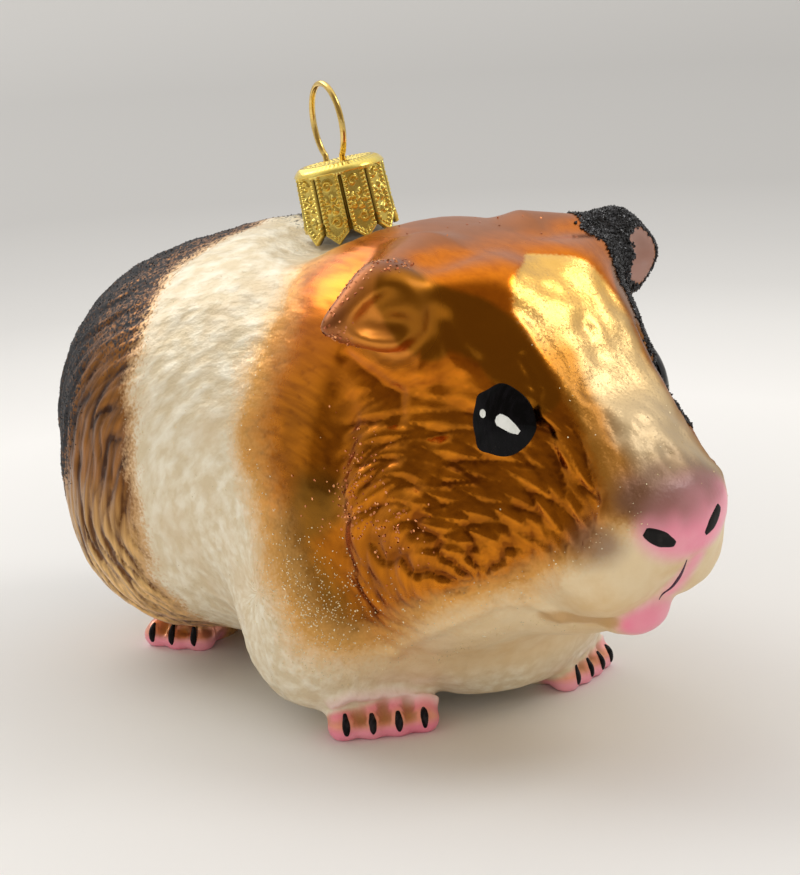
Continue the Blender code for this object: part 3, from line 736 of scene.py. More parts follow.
def press(points, shares):
    """How far the moulding goes in at each point, in millimetres, and how much of it is a groove.

    The grooves are darkened in the lacquers as painted shade.
    """
    height = points[:, 2]
    blaze, body, amber = shares["blaze"], shares["body"], shares["amber"]
    rump = body * shares["brown"]
    calm = np.maximum(shares["pink"], fade("ground", height))
    head = (1 - body) * (1 - blaze) * fade("head_fur", height) * (CREAM_FUR + (1 - CREAM_FUR) * amber)
    furred = {
        "head": head,
        "body": (body - rump) * (1 - blaze) * (1 - (1 - AMBER_FUR) * amber),
        "rump": rump,
        "blaze": blaze * (HIGH_BLAZE_FUR + (1 - HIGH_BLAZE_FUR) * fade("blaze_fur", height)),
    }
    depth = np.zeros(len(points))
    groove = np.zeros(len(points))
    for region, (whorl, lock_size, lock_depth, swell_depth, seed) in FUR.items():
        locks, swells = fur(points, WHORLS[whorl], lock_size, seed)
        share = furred[region] * (1 - calm)
        depth += share * (lock_depth * (1 - locks) + swell_depth * (1 + swells) / 2)
        groove += share * np.square(1 - locks)
    dimpled = (1 + blaze) * (1 - amber * (1 - blaze)) * (1 - calm)
    depth += DIMPLE_DEPTH * dimpled * noise(points / DIMPLE_SIZE, DIMPLE_SEED)
    from_cap_base = np.linalg.norm((points - np.array(CAP_BASE)) * CAP_SEAT_STRETCH, axis=1)
    seat_side = points[:, 0] + CAP_SEAT_SLANT * points[:, 1]
    depth += CAP_SEAT_DEPTH * fade("cap_seat", from_cap_base) * fade("cap_seat_side", seat_side)
    depth += TOE_GAP_DEPTH * shares["toe_gap"] - FOOT_FOLD_HEIGHT * shares["fold"]
    for path, half_width, crease in CREASES:
        for side in (points, points * (-1, 1, 1)):
            trench = np.exp(-np.square(path_distance(side, path) / half_width))
            depth += crease * trench
            groove = np.maximum(groove, CREASE_GROOVE * trench * (crease > 0))
    return depth, groove


# ---- objects ----


def add_object(name, data):
    item = bpy.data.objects.new(name, data)
    bpy.context.scene.collection.objects.link(item)
    return item


def add_mesh(name, points, faces, material, smooth=True):
    """A piece from points in the tables' millimetres, which rides on the one body."""
    mesh = bpy.data.meshes.new(name)
    placed = (np.asarray(points, float) - ORIGIN) * MM
    faces = faces.tolist() if isinstance(faces, np.ndarray) else faces
    mesh.from_pydata(placed.tolist(), [], faces)
    mesh.validate()
    if smooth:
        mesh.shade_smooth()
    mesh.materials.append(material)
    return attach(add_object(name, mesh), BODY)


def add_enamel(name, shape, material):
    """A piece of enamel or paint, from its points and faces."""
    item = add_mesh(name, *shape, material)
    return item


def set_attribute(item, name, values):
    """A number or a vector for each point of a mesh."""
    values = np.asarray(values, np.float32)
    kind, key = ("FLOAT", "value") if values.ndim == 1 else ("FLOAT_VECTOR", "vector")
    item.data.attributes.new(name, kind, "POINT").data.foreach_set(key, values.ravel())


# ---- materials ----


class Nodes:
    """A node tree whose nodes are made by short calls."""

    def __init__(self, tree):
        self.tree = tree

    def node(self, kind, inputs=(), **settings):
        made = self.tree.nodes.new(f"ShaderNode{kind}")
        for key, value in settings.items():
            setattr(made, key, value)
        for key, value in dict(inputs).items():
            self.feed(made.inputs[key], value)
        return made

    def feed(self, socket, value):
        if isinstance(value, bpy.types.NodeSocket):
            self.tree.links.new(value, socket)
        elif isinstance(value, tuple) and len(value) == 3 and socket.type == "RGBA":
            socket.default_value = (*value, 1)
        else:
            socket.default_value = value

    def math(self, operation, one, other=0.0):
        return self.node("Math", {0: one, 1: other}, operation=operation).outputs[0]

    def spread(self, value, low, high, start=0.0, end=1.0):
        """The value's range from low to high spread over start to end, and level beyond it."""
        inputs = {"Value": value, "From Min": low, "From Max": high, "To Min": start, "To Max": end}
        return self.node("MapRange", inputs).outputs["Result"]

    def mix(self, share, one, other):
        """One colour, turning to the other by the share."""
        return self.node("Mix", {0: share, 6: one, 7: other}, data_type="RGBA").outputs[2]

    def blend(self, share, one, other):
        """One number, turning to the other by the share."""
        return self.node("Mix", {0: share, 2: one, 3: other}, data_type="FLOAT").outputs[0]

    def between(self, value, low, high, one, other):
        """One colour up to the low value, and the other from the high one."""
        return self.mix(self.spread(value, low, high), one, other)

    def stops(self, value, stops):
        """The colour that a list of (position, colour) gives at the value."""
        made = self.node("ValToRGB", {0: value})
        elements = made.color_ramp.elements
        while len(elements) > 1:
            elements.remove(elements[-1])
        elements[0].position, elements[0].color = stops[0][0], (*stops[0][1], 1)
        for position, colour in stops[1:]:
            elements.new(position).color = (*colour, 1)
        return made.outputs["Color"]


class Look(Nodes):
    """A material and its nodes."""

    def __init__(self, name, **inputs):
        self.material = bpy.data.materials.new(name)
        self.material.use_nodes = True
        super().__init__(self.material.node_tree)
        self.set(**inputs)

    def set(self, **inputs):
        for key, value in inputs.items():
            self.feed(self.tree.nodes["Principled BSDF"].inputs[key.replace("_", " ")], value)

    def place(self):
        """The point's place in metres, which stays with the piece."""
        return self.node("TexCoord").outputs["Object"]

    def share(self, name, strength=None):
        """A zone's share, or that times a strength."""
        share = self.node("Attribute", attribute_name=name).outputs["Fac"]
        return share if strength is None else self.math("MULTIPLY", share, strength)

    def lie(self, region):
        return self.node("Attribute", attribute_name=f"lie_{region}").outputs["Vector"]

    def grain(self, vector, scale, detail=2.0):
        return self.node("TexNoise", {"Vector": vector, "Scale": scale, "Detail": detail}).outputs["Fac"]

    def stretched(self, vector, scale):
        return self.node("Mapping", {"Vector": vector, "Scale": scale}).outputs["Vector"]

    def cells(self, scale):
        """Cells of random colour, and a random number from 0 to 1 for each."""
        colour = self.node("TexVoronoi", {"Vector": self.place(), "Scale": scale}).outputs["Color"]
        return colour, self.node("SeparateColor", {0: colour}).outputs[0]

    def bump(self, height, distance, strength=1.0, normal=None):
        inputs = {"Height": height, "Distance": distance, "Strength": strength}
        if normal is not None:
            inputs["Normal"] = normal
        return self.node("Bump", inputs).outputs["Normal"]

    def vector_math(self, operation, *vectors, **others):
        """The vector that an operation makes of one or two, and of others such as Scale."""
        inputs = {**dict(enumerate(vectors)), **others}
        return self.node("VectorMath", inputs, operation=operation).outputs[0]

    def sparkle(self, cell_colour, share, amount):
        """The normal tipped at random from cell to cell, by the share given."""
        random = self.vector_math("SUBTRACT", cell_colour, (0.5, 0.5, 0.5))
        tip = self.vector_math("SCALE", self.vector_math("SCALE", random, Scale=amount), Scale=share)
        tipped = self.vector_math("ADD", self.node("NewGeometry").outputs["Normal"], tip)
        return self.vector_math("NORMALIZE", tipped)


# ---- the lacquers' colours, as linear shares of red, green and blue ----

# How fine each grain is: the first three per millimetre of the fur's lie, and the others per metre.
STREAK_GRAIN = (1.3, 1.3, 0.16)
TUFT_GRAIN = (0.8, 0.8, 0.5)
HAIR_GRAIN = (0.95, 0.95, 0.14)
PATCH_GRAIN = 150.0
SPECKLE_GRAIN = 2600.0
GLITTER_CELLS = 5200.0
# How strongly the grooves darken the lacquers, as painted shade in the fur's valleys and the creases, and the
# range over which that shade, mixed with streaks of grain, turns a lacquer to its darker colour.
GROOVE_SHADE = 0.8
SHADE_AND_STREAK_RANGE = (0.4, 1.1)
# Mottled lacquers: two values of what they follow, and the colours below the one and above the other.
MOTTLED = {
    "cream": (0.38, 0.66, (0.76, 0.64, 0.43), (0.92, 0.85, 0.68)),
    "warm": (0.35, 0.65, (0.80, 0.56, 0.27), (0.88, 0.70, 0.43)),
    "vivid": (0, 1, (0.74, 0.20, 0.008), (0.45, 0.10, 0.005)),
    "amber": (0, 1, (0.66, 0.21, 0.010), (0.22, 0.055, 0.003)),
    "brown_low": (0.1, 0.75, (0.96, 0.62, 0.25), (0.17, 0.065, 0.014)),
    "brown_high": (0, 0.9, (0.36, 0.14, 0.025), (0.06, 0.022, 0.008)),
    # The blaze's gold at the top is partly its lacquer and partly a painted reflection of warm light.
    "blaze_high": (0.036, 0.046, (0.76, 0.56, 0.30), (0.94, 0.55, 0.13)),
    "pink": (0.3, 0.7, (0.95, 0.24, 0.38), (0.96, 0.42, 0.50)),
    "salmon": (0, 1, (0.95, 0.42, 0.24), (0.68, 0.26, 0.11)),
}
BROWN_HEIGHT = (0.012, 0.024)
BLAZE_FOOT_HEIGHT = (0.029, 0.037)
BLAZE_FOOT_COLOUR = (0.50, 0.38, 0.24)
# The colour of the painted shade on the blaze's sloping sides.
BLAZE_FLANK_SHADE = (0.38, 0.155, 0.012)
PATCHES = {
    "cream": (0.52, 0.8, (0.74, 0.58, 0.36)),
    "amber": (0.5, 0.75, (0.36, 0.11, 0.006)),
    "blaze": (0.5, 0.85, (0.72, 0.50, 0.22)),
}
# Where a lacquer's border colour comes in, that colour, and where the lacquer itself comes in.
BORDERS = {
    "brown": ((0.0, 0.4), (0.70, 0.44, 0.21), (0.3, 0.9)),
    "amber": ((0.0, 0.45), (0.80, 0.43, 0.11), (0.3, 0.85)),
}
# Zones, how strongly they cover, and their colours: those on the amber, and those over all.
AMBER_TINTS = (
    ("crest", 0.8, (0.32, 0.12, 0.045)),
    # The ears' lighter orange is painted light, lifting the shade in their hollows.
    ("ear", 0.75, (0.80, 0.30, 0.05)),
    # The temple's dark colour is painted shade, a dark reflection under the brow.
    ("temple_shade", 0.9, (0.30, 0.105, 0.005)),
    ("olive", 0.8, (0.20, 0.095, 0.012)),
)
WARM_STRENGTH = 0.8
TOP_TINTS = (
    # The gaps between the toes are darker: painted shade between the toes.
    ("toe_gap", 0.85, (0.40, 0.18, 0.045)),
    ("fold", 1.0, (0.96, 0.74, 0.69)),
    ("tan", 0.7, (0.55, 0.30, 0.09)),
    ("ear_rim", 0.75, (0.25, 0.085, 0.045)),
    ("mauve", 0.85, (0.20, 0.095, 0.06)),
    ("ear_pink", 1.0, (0.40, 0.21, 0.16)),
)
DUST_COLOUR = (0.022, 0.022, 0.025)
# How far the grain breaks up a lacquer's edge.
EDGE_GRIT = {"amber": 0.04, "brown": 0.14, "blaze": 0.12, "dust": 0.3}
SPECKLE_RANGE = (0.3, 0.7)
# How metallic and how rough each zone is. The blaze changes with height, between these two.
METAL = {"cream": 0.25, "brown": 0.95, "amber": 1.0, "blaze": (0.45, 0.85), "crest": 0.4, "paint": 0.0}
ROUGH = {
    "cream": 0.5, "brown": 0.32, "amber": 0.24, "ear": 0.42, "blaze": (0.48, 0.33),
    "pink": 0.33, "ear_pink": 0.5, "dust": 0.85,
}
BLAZE_SHEEN_HEIGHT = (0.030, 0.042)
CREST_DULLING = 0.7
RARE_FLECKS = (0.6, 0.95)
FLECK_TIP = 0.35
TUFT_STRENGTH = 0.5
# How high each grain stands, in metres.
GRAIN_HEIGHT = {"hairs": 0.00015, "tufts": 0.0006, "speckle": 0.00008, "brush": 0.0001, "gilt": 0.00005}

# Enamels and flakes: a colour, another that varies it, for flakes how metallic, and a roughness.
ENAMELS = {
    "black_claw_enamel": ((0.006, 0.005, 0.006), (0.035, 0.03, 0.035), 0.22),
    "black_nostril_paint": ((0.012, 0.011, 0.011), (0.03, 0.028, 0.027), 0.6),
    "plum_line_paint": ((0.055, 0.018, 0.045), (0.12, 0.05, 0.08), 0.4),
    "black_eye_enamel": ((0.002, 0.002, 0.0025), (0.007, 0.006, 0.008), 0.16),
    "white_light_paint": ((0.93, 0.96, 0.93), (0.8, 0.84, 0.8), 0.3),
}
FLAKES = {
    "copper_flakes": ((1.0, 0.43, 0.17), (0.50, 0.12, 0.04), 0.6, 0.25),
    "gilt_glitter": ((0.98, 0.88, 0.62), (0.80, 0.62, 0.32), 0.35, 0.3),
    "black_grit": ((0.012, 0.012, 0.013), (0.05, 0.05, 0.055), 0.3, 0.2),
}
BRUSH_GRAIN = (900.0, 2600.0, 700.0)
BRUSH_COLOURS = (0.45, 0.8)
BRUSH_ROUGHNESS = (0.2, 0.8)
BRUSH_STRENGTH = 0.35
FLAKE_CELLS = 1500.0
# How far the roughness of enamels and flakes varies, as shares of it.
SMOOTHEST = 0.6
ROUGHEST_STROKE = 1.6
ROUGHEST_FLAKE = 1.4
# Metals: the grain's scale, the wear that turns one colour to the other, and one roughness to the other.
GILT_GRAIN = 900.0
GILT_COLOURS = (0.3, 0.7, (1.0, 0.82, 0.22), (1.0, 0.72, 0.14))
# The colour of the painted shade in the cap's hollows, slots and inside.
GILT_HOLLOW_SHADE = (0.20, 0.12, 0.012)
GILT_ROUGHNESS = (0.25, 0.75, 0.12, 0.24)
GILT_STRENGTH = 0.4
WIRE_GRAIN = (500.0, 500.0, 4000.0)
WIRE_COLOURS = (0.35, 0.7, (0.92, 0.66, 0.22), (0.74, 0.49, 0.12))
WIRE_ROUGHNESS = (0.2, 0.8, 0.1, 0.24)


def combed_grain(look, scale, detail):
    """Grain drawn out along the fur, by each region's own lie."""
    lies = [look.stretched(look.lie(region), scale) for region in WHORLS]
    head, body, blaze = [look.grain(lie_there, 1.0, detail) for lie_there in lies]
    return look.blend(look.share("blaze"), look.blend(look.share("body"), head, body), blaze)


def glass_look():
    """Silvered glass under lacquers, sanded with glitter in places."""
    look = Look("lacquered_glass", Coat_Weight=0.07, Coat_Roughness=0.2, Specular_IOR_Level=0.5)
    height = look.node("SeparateXYZ", {0: look.place()}).outputs["Z"]
    streaks = combed_grain(look, STREAK_GRAIN, detail=3.0)
    tufts = combed_grain(look, TUFT_GRAIN, detail=3.0)
    patches = look.grain(look.place(), PATCH_GRAIN, detail=3.0)
    speckle = look.grain(look.place(), SPECKLE_GRAIN, detail=1.0)
    # Painted shade: the lacquers turn darker in the grooves between the locks and in the creases, mixed with
    # streaks of grain.
    deep = look.spread(look.math("ADD", look.share("groove", GROOVE_SHADE), streaks), *SHADE_AND_STREAK_RANGE)

    def mottled(name, value):
        return look.between(value, *MOTTLED[name])

    def patched(name, colour):
        low, high, patch = PATCHES[name]
        return look.between(patches, low, high, colour, patch)

    def tinted(colour, tints):
        for zone, strength, tint in tints:
            colour = look.mix(look.share(zone, strength), colour, tint)
        return colour

    def gritty(zone, width):
        """A lacquer's share, its edge broken up by the grain."""
        edge = look.math("ADD", look.share(zone), look.spread(speckle, *SPECKLE_RANGE, -width, width))
        return look.spread(edge, width, 1 - width)

    def layered(value, layers):
        """A number changed by each layer in turn, of a share and the layer's own number."""
        for share, other in layers:
            value = look.blend(share, value, other)
        return value

    cream = patched("cream", mottled("cream", tufts))
    cream = look.mix(look.share("warm", WARM_STRENGTH), cream, mottled("warm", patches))
    amber = patched("amber", mottled("amber", deep))
    amber = tinted(look.mix(look.share("crown"), amber, mottled("vivid", deep)), AMBER_TINTS)
    brown = look.between(height, *BROWN_HEIGHT, mottled("brown_low", deep), mottled("brown_high", deep))
    # Towards the top the blaze turns gold: partly its lacquer, partly a painted reflection of warm light.
    blaze = look.between(height, *BLAZE_FOOT_HEIGHT, BLAZE_FOOT_COLOUR, mottled("blaze_high", height))
    # The blaze's sides turn orange-brown: painted shade where they slope away.
    blaze = look.mix(look.share("flank_shade"), patched("blaze", blaze), BLAZE_FLANK_SHADE)

    covers = {zone: gritty(zone, width) for zone, width in EDGE_GRIT.items()}
    colour = cream
    for zone, lacquer in (("brown", brown), ("amber", amber)):
        border, border_colour, inside = BORDERS[zone]
        colour = look.between(covers[zone], *border, colour, border_colour)
        colour = look.between(covers[zone], *inside, colour, lacquer)
    colour = look.mix(covers["blaze"], colour, blaze)
    colour = look.mix(look.share("salmon"), colour, mottled("salmon", deep))
    colour = look.mix(look.share("pink"), colour, mottled("pink", patches))
    colour = look.mix(covers["dust"], tinted(colour, TOP_TINTS), DUST_COLOUR)

    metal = layered(METAL["cream"], (
        (covers["brown"], METAL["brown"]),
        (covers["amber"], METAL["amber"]),
        (covers["blaze"], look.spread(height, *BLAZE_SHEEN_HEIGHT, *METAL["blaze"])),
        (look.share("crest", CREST_DULLING), METAL["crest"]),
        (look.math("MAXIMUM", look.share("pink"), look.share("ear_pink")), METAL["paint"]),
        (covers["dust"], METAL["paint"]),
    ))
    roughness = layered(ROUGH["cream"], (
        (covers["brown"], ROUGH["brown"]),
        (covers["amber"], ROUGH["amber"]),
        (look.math("MAXIMUM", look.share("ear"), look.share("crest")), ROUGH["ear"]),
        (covers["blaze"], look.spread(height, *BLAZE_SHEEN_HEIGHT, *ROUGH["blaze"])),
        (look.share("pink"), ROUGH["pink"]),
        (look.share("ear_pink"), ROUGH["ear_pink"]),
        (covers["dust"], ROUGH["dust"]),
    ))

    cell_colour, cell_number = look.cells(GLITTER_CELLS)
    flecks = look.math("MULTIPLY", look.spread(cell_number, *RARE_FLECKS), look.share("glitter"))
    normal = look.sparkle(cell_colour, flecks, FLECK_TIP)
    hairs = combed_grain(look, HAIR_GRAIN, detail=1.5)
    normal = look.bump(hairs, GRAIN_HEIGHT["hairs"], look.share("brown"), normal)
    normal = look.bump(tufts, GRAIN_HEIGHT["tufts"], look.share("tufted", TUFT_STRENGTH), normal)
    normal = look.bump(speckle, GRAIN_HEIGHT["speckle"], look.share("sanded"), normal)
    look.set(Base_Color=colour, Metallic=metal, Roughness=roughness, Normal=normal)
    return look.material


def enamel_look(name):
    """Brushed-on enamel: glossy, with brush marks."""
    colour, sheen_colour, roughness = ENAMELS[name]
    look = Look(name, Coat_Weight=0.1, Coat_Roughness=0.05, Specular_IOR_Level=0.06)
    marks = look.grain(look.stretched(look.place(), BRUSH_GRAIN), 1.0, detail=3.0)
    look.set(
        Base_Color=look.between(marks, *BRUSH_COLOURS, colour, sheen_colour),
        Roughness=look.spread(marks, *BRUSH_ROUGHNESS, roughness * SMOOTHEST, roughness * ROUGHEST_STROKE),
        Normal=look.bump(marks, GRAIN_HEIGHT["brush"], BRUSH_STRENGTH),
    )
    return look.material


def flake_look(name):
    """Flakes that differ in colour and sheen from cell to cell."""
    colour, dark, metallic, roughness = FLAKES[name]
    look = Look(name, Metallic=metallic)
    _, number = look.cells(FLAKE_CELLS)
    look.set(
        Base_Color=look.mix(number, colour, dark),
        Roughness=look.spread(number, 0.0, 1.0, roughness * SMOOTHEST, roughness * ROUGHEST_FLAKE),
    )
    return look.material


def gold_look():
    """Stamped gilt metal, with painted shade darkening its hollows, slots and inside."""
    look = Look("gilt_metal", Metallic=0.85)
    wear = look.grain(look.place(), GILT_GRAIN, detail=4.0)
    look.set(
        Base_Color=look.mix(look.share("hollow"), look.between(wear, *GILT_COLOURS), GILT_HOLLOW_SHADE),
        Roughness=look.spread(wear, *GILT_ROUGHNESS),
        Normal=look.bump(wear, GRAIN_HEIGHT["gilt"], GILT_STRENGTH),
    )
    return look.material


def wire_look():
    """Drawn gilt wire."""
    look = Look("gilt_wire", Metallic=1.0)
    drawn = look.grain(look.stretched(look.place(), WIRE_GRAIN), 1.0, detail=3.0)
    look.set(
        Base_Color=look.between(drawn, *WIRE_COLOURS),
        Roughness=look.spread(drawn, *WIRE_ROUGHNESS),
    )
    return look.material


# ---- the skin ----

# How much each zone glitters and is sanded, the share of amber at its border, and how wide the border is
# for the glitter and for the gilt flakes.
GLITTER = {"cream": 0.35, "border": 0.6, "blaze": 0.7}
SANDING = {"cream": 0.3, "blaze": 0.35, "dust": 0.9}
AMBER_BORDER = 0.35
GLITTER_BORDER = 0.3
GILT_BORDER = 0.28


def amber_border(shares, width):
    return np.exp(-np.square((shares["amber"] - AMBER_BORDER) / width))


def cream_share(shares):
    return (1 - shares["amber"]) * (1 - shares["brown"])


def weighed(shares, weights):
    """The sum of some zones' shares by their weights, from 0 to 1."""
    return np.clip(sum(weight * shares[zone] for zone, weight in weights.items()), 0, 1)


def build_skin():
    points, quads = surface_net(fill_pinches(field_samples()))
    points = relaxed(points, quads)
    shares = zones(points)
    depth, groove = press(points, shares)
    points = points - unit(field_slope(points)) * depth[:, None]
    points[:, 2] = np.maximum(points[:, 2], 0)
    skin = add_mesh("skin", points, quads, glass_look())
    not_pink = 1 - shares["pink"]
    border = amber_border(shares, GLITTER_BORDER) * not_pink
    surfaces = {**shares, "cream": cream_share(shares), "border": border}
    from_whorl = np.hypot(points[:, 1] - WHORLS["body"][0], points[:, 2] - WHORLS["body"][1])
    attributes = {
        **shares,
        "groove": groove,
        "glitter": weighed(surfaces, GLITTER) * not_pink,
        "sanded": weighed(surfaces, SANDING),
        "tufted": surfaces["cream"] * shares["body"] * fade("tufts", from_whorl),
        **{f"lie_{region}": lie(points, whorl) for region, whorl in WHORLS.items()},
    }
    for name, values in attributes.items():
        set_attribute(skin, name, values)
    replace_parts(skin, *GLASS_NODES)
    return points, quads, shares


skin_points, skin_quads, skin_shares = build_skin()

# ---- enamel strokes: claws, nostrils and mouth ----

STROKE_SIDES = 12
STROKE_STEPS = 18
STROKE_SINK = 0.12
BRUSH_TIP = 0.04
BRUSH_WAVES = 5
BRUSH_UNEVENNESS = 0.12
BRUSH_SEED = 7
CLAW_HEIGHTS = ((0.55, 3.1), (0.0, 1.9), (0.05, 0.75))
CLAW = {"width": 0.82, "rise": 0.22}
NOSTRIL = {"width": 1.55, "rise": 0.1, "seed": 5, "blunt": 0.42}
MOUTH_LINE = {"width": 0.42, "rise": 0.06, "seed": 8, "blunt": 0.8}
NOSTRILS = (
    ((-5.6, -46.8, 26.0), (-4.2, -47.4, 25.1), (-2.5, -47.7, 24.2)),
    ((3.9, -47.4, 26.5), (2.7, -47.9, 25.3), (1.5, -47.9, 24.3)),
)
MOUTH = ((0.1, -46.6, 21.8), (1.0, -44.8, 19.7), (1.2, -43.3, 17.9), (0.4, -42.5, 16.7))

def smooth_path(corners, count):
    """A curve through the corners, as that many points."""
    corners = np.array(corners, float)
    ends = (2 * corners[0] - corners[1], 2 * corners[-1] - corners[-2])
    padded = np.vstack((ends[0], corners, ends[1]))
    place = np.linspace(0, len(corners) - 1, count)
    leg = np.minimum(place.astype(int), len(corners) - 2)
    part = (place - leg)[:, None]
    a, b, c, d = (padded[leg + i] for i in range(4))
    curve = 2 * b + (c - a) * part + (2 * a - 5 * b + 4 * c - d) * part**2
    return 0.5 * (curve + (3 * (b - c) + d - a) * part**3)


def ring_faces(ring_count, ring_size):
    """Faces of a closed body: one point, then rings of points, then one point."""
    here = np.arange(ring_size)
    following = np.roll(here, -1)
    last = ring_count * ring_size + 1
    faces = [(0, 1 + j, 1 + i) for i, j in zip(here, following)]
    for ring in range(ring_count - 1):
        low, high = 1 + ring * ring_size, 1 + (ring + 1) * ring_size
        faces += [(low + i, low + j, high + j, high + i) for i, j in zip(here, following)]
    low = last - ring_size
    return faces + [(low + i, low + j, last) for i, j in zip(here, following)]


def joined(bodies):
    """Several bodies of (points, faces) as one list of points and one of faces."""
    points, faces, first = [], [], 0
    for body_points, body_faces in bodies:
        points.append(body_points)
        faces += [tuple(first + i for i in face) for face in body_faces]
        first += len(body_points)
    return np.concatenate(points), faces


def brush_width(steps, seed, blunt):
    """The width of a brush stroke along its length, uneven, from 0 to about 1."""
    along = np.linspace(0, 1, steps)
    places = np.column_stack((along * BRUSH_WAVES, np.zeros(steps), np.full(steps, seed)))
    swelling = np.sin(math.pi * (BRUSH_TIP + (1 - 2 * BRUSH_TIP) * along)) ** blunt
    return swelling + BRUSH_UNEVENNESS * noise(places, BRUSH_SEED)


def stroke(path, width, rise, seed=0, blunt=0.5):
    """A raised brush stroke on the glass along a path."""
    centre = on_surface(smooth_path(path, STROKE_STEPS))
    normal = unit(field_slope(centre))
    across = unit(np.cross(normal, np.gradient(centre, axis=0)))
    widths = width / 2 * brush_width(STROKE_STEPS, seed, blunt)
    turns = around(STROKE_SIDES)
    base = centre[:, None] + across[:, None] * (widths[:, None] * np.cos(turns))[..., None]
    base = on_surface(base.reshape(-1, 3)).reshape(base.shape)
    up = np.where(np.sin(turns) > 0, rise * np.sin(turns), STROKE_SINK * np.sin(turns))
    rings = base + normal[:, None] * (up * (widths / widths.max())[:, None])[..., None]
    points = np.vstack((rings[0].mean(axis=0), rings.reshape(-1, 3), rings[-1].mean(axis=0)))
    return points, ring_faces(STROKE_STEPS, STROKE_SIDES)


def claw_strokes(place, toes):
    (centre, _, size), spin = place, foot_spin(place)
    strokes = []
    for toe in range(toes[0]):
        _, tip = toe_line(toe, toes)
        front = tip[1] - TOE_RADIUS
        local = np.array([(tip[0], front + back, height) for back, height in CLAW_HEIGHTS])
        strokes.append(stroke(np.array(centre) + size * local @ spin.T, **CLAW, seed=toe))
    return strokes


def build_claws():
    enamel = enamel_look("black_claw_enamel")
    for name, (place, toes) in FEET.items():
        add_enamel(f"claws_{name}", joined(claw_strokes(place, toes)), enamel)


def build_muzzle_marks():
    nostrils = joined([stroke(path, **NOSTRIL) for path in NOSTRILS])
    add_enamel("nostrils", nostrils, enamel_look("black_nostril_paint"))
    add_enamel("mouth_line", stroke(MOUTH, **MOUTH_LINE), enamel_look("plum_line_paint"))


# ---- eyes ----

EYE_PLACE = (10.3, -33.0, 35.7)
EYE_RADII = (3.2, 3.45)
EYE_RISE = 0.6
EYE_SINK = 0.35
EYE_RINGS = 14
EYE_SIDES = 72
EYE_ROUNDNESS = 2.6
# Bulges of the brushed outline: the way round from the nose side, the half-angle and how far out.
EYE_BULGES = ((93, 18, 0.3), (137, 12, 0.3), (228, 14, 0.45), (350, 14, 0.12), (300, 20, -0.1))
# The underside: its rings as shares of the outline, and how far it is flattened.
UNDER_RINGS = (0.985, 0.5)
UNDER_FLATTENING = 0.5
# Just off the middle, where the way round is still known.
EYE_MIDDLE = (0.001, 0)
# The dot of light: its place across and up, its radius, how far along it the paint goes and its height.
EYE_DOT = (-2.0, 0.72, 0.36)
DOT_REACH = 0.95
DOT_TALLNESS = 2.4
EYE_COMMA = ((-0.55, 0.3), (0.2, 0.05), (1.0, -0.5), (1.75, -1.0))
EYE_COMMA_WIDTH = 1.3
COMMA_TAPER = ((0, 0.12, 0.4, 0.75, 1), (0.4, 0.95, 1, 0.75, 0.35))
EYE_LIGHT_RISE = 0.05


def eye_outline(turns):
    """How far out the eye's brushed outline lies each way round."""
    radii = 1 / np.hypot(np.cos(turns) / EYE_RADII[0], np.sin(turns) / EYE_RADII[1])
    for centre, spread_angle, out in EYE_BULGES:
        away = (np.degrees(turns) - centre + 180) % 360 - 180
        radii = radii + out * np.exp(-np.square(away / spread_angle))
    return radii


def eye_axes(place):
    """Columns: towards the nose, up, and out of the glass, for the right eye."""
    look = unit(field_slope(place[None]))[0]
    across = unit(np.cross((0, 0, 1), look))
    return np.stack((across, np.cross(look, across), look), axis=1)


def on_eye(flat, rise):
    """Points over the right eye, given across and up in millimetres and how far proud of the dome."""
    place = on_surface(np.array([EYE_PLACE]) * (-1, 1, 1))[0]
    axes = eye_axes(place)
    far = np.hypot(*flat.T) / eye_outline(np.arctan2(flat[:, 1], flat[:, 0]))
    dome = EYE_RISE * np.maximum(1 - far**EYE_ROUNDNESS, 0)
    base = on_surface(place + flat @ axes[:, :2].T)
    return base + np.outer(dome + rise, axes[:, 2])


def eye_body():
    turns = around(EYE_SIDES)
    outline = round_points(eye_outline(turns), 0, turns)[:, :2]
    shares = np.sin(np.linspace(0, math.pi / 2, EYE_RINGS + 1)[1:])
    flat = np.concatenate([outline * share for share in shares])
    top = on_eye(np.vstack((EYE_MIDDLE, flat)), 0.0)
    under = on_eye(np.vstack((*[outline * share for share in UNDER_RINGS], EYE_MIDDLE)), -EYE_SINK)
    rim, inside = under[:EYE_SIDES], under[EYE_SIDES:]
    inside -= (inside - rim.mean(axis=0)) * UNDER_FLATTENING
    return np.vstack((top, rim, inside)), ring_faces(EYE_RINGS + len(UNDER_RINGS), EYE_SIDES)


def light_body(centres, widths):
    """A spot of paint on the eye, along centres with the widths given."""
    way = np.gradient(centres, axis=0)
    across = unit(np.stack((-way[:, 1], way[:, 0]), axis=1))
    turns = around(STROKE_SIDES)
    flat = centres[:, None] + across[:, None] * (widths[:, None] * np.cos(turns) / 2)[..., None]
    rise = EYE_LIGHT_RISE * np.sign(np.sin(turns)) * np.sqrt(np.abs(np.sin(turns)))
    rings = on_eye(flat.reshape(-1, 2), np.tile(rise, len(centres)))
    ends = on_eye(centres[[0, -1]], np.zeros(2))
    return np.vstack((ends[0], rings, ends[1])), ring_faces(len(centres), STROKE_SIDES)


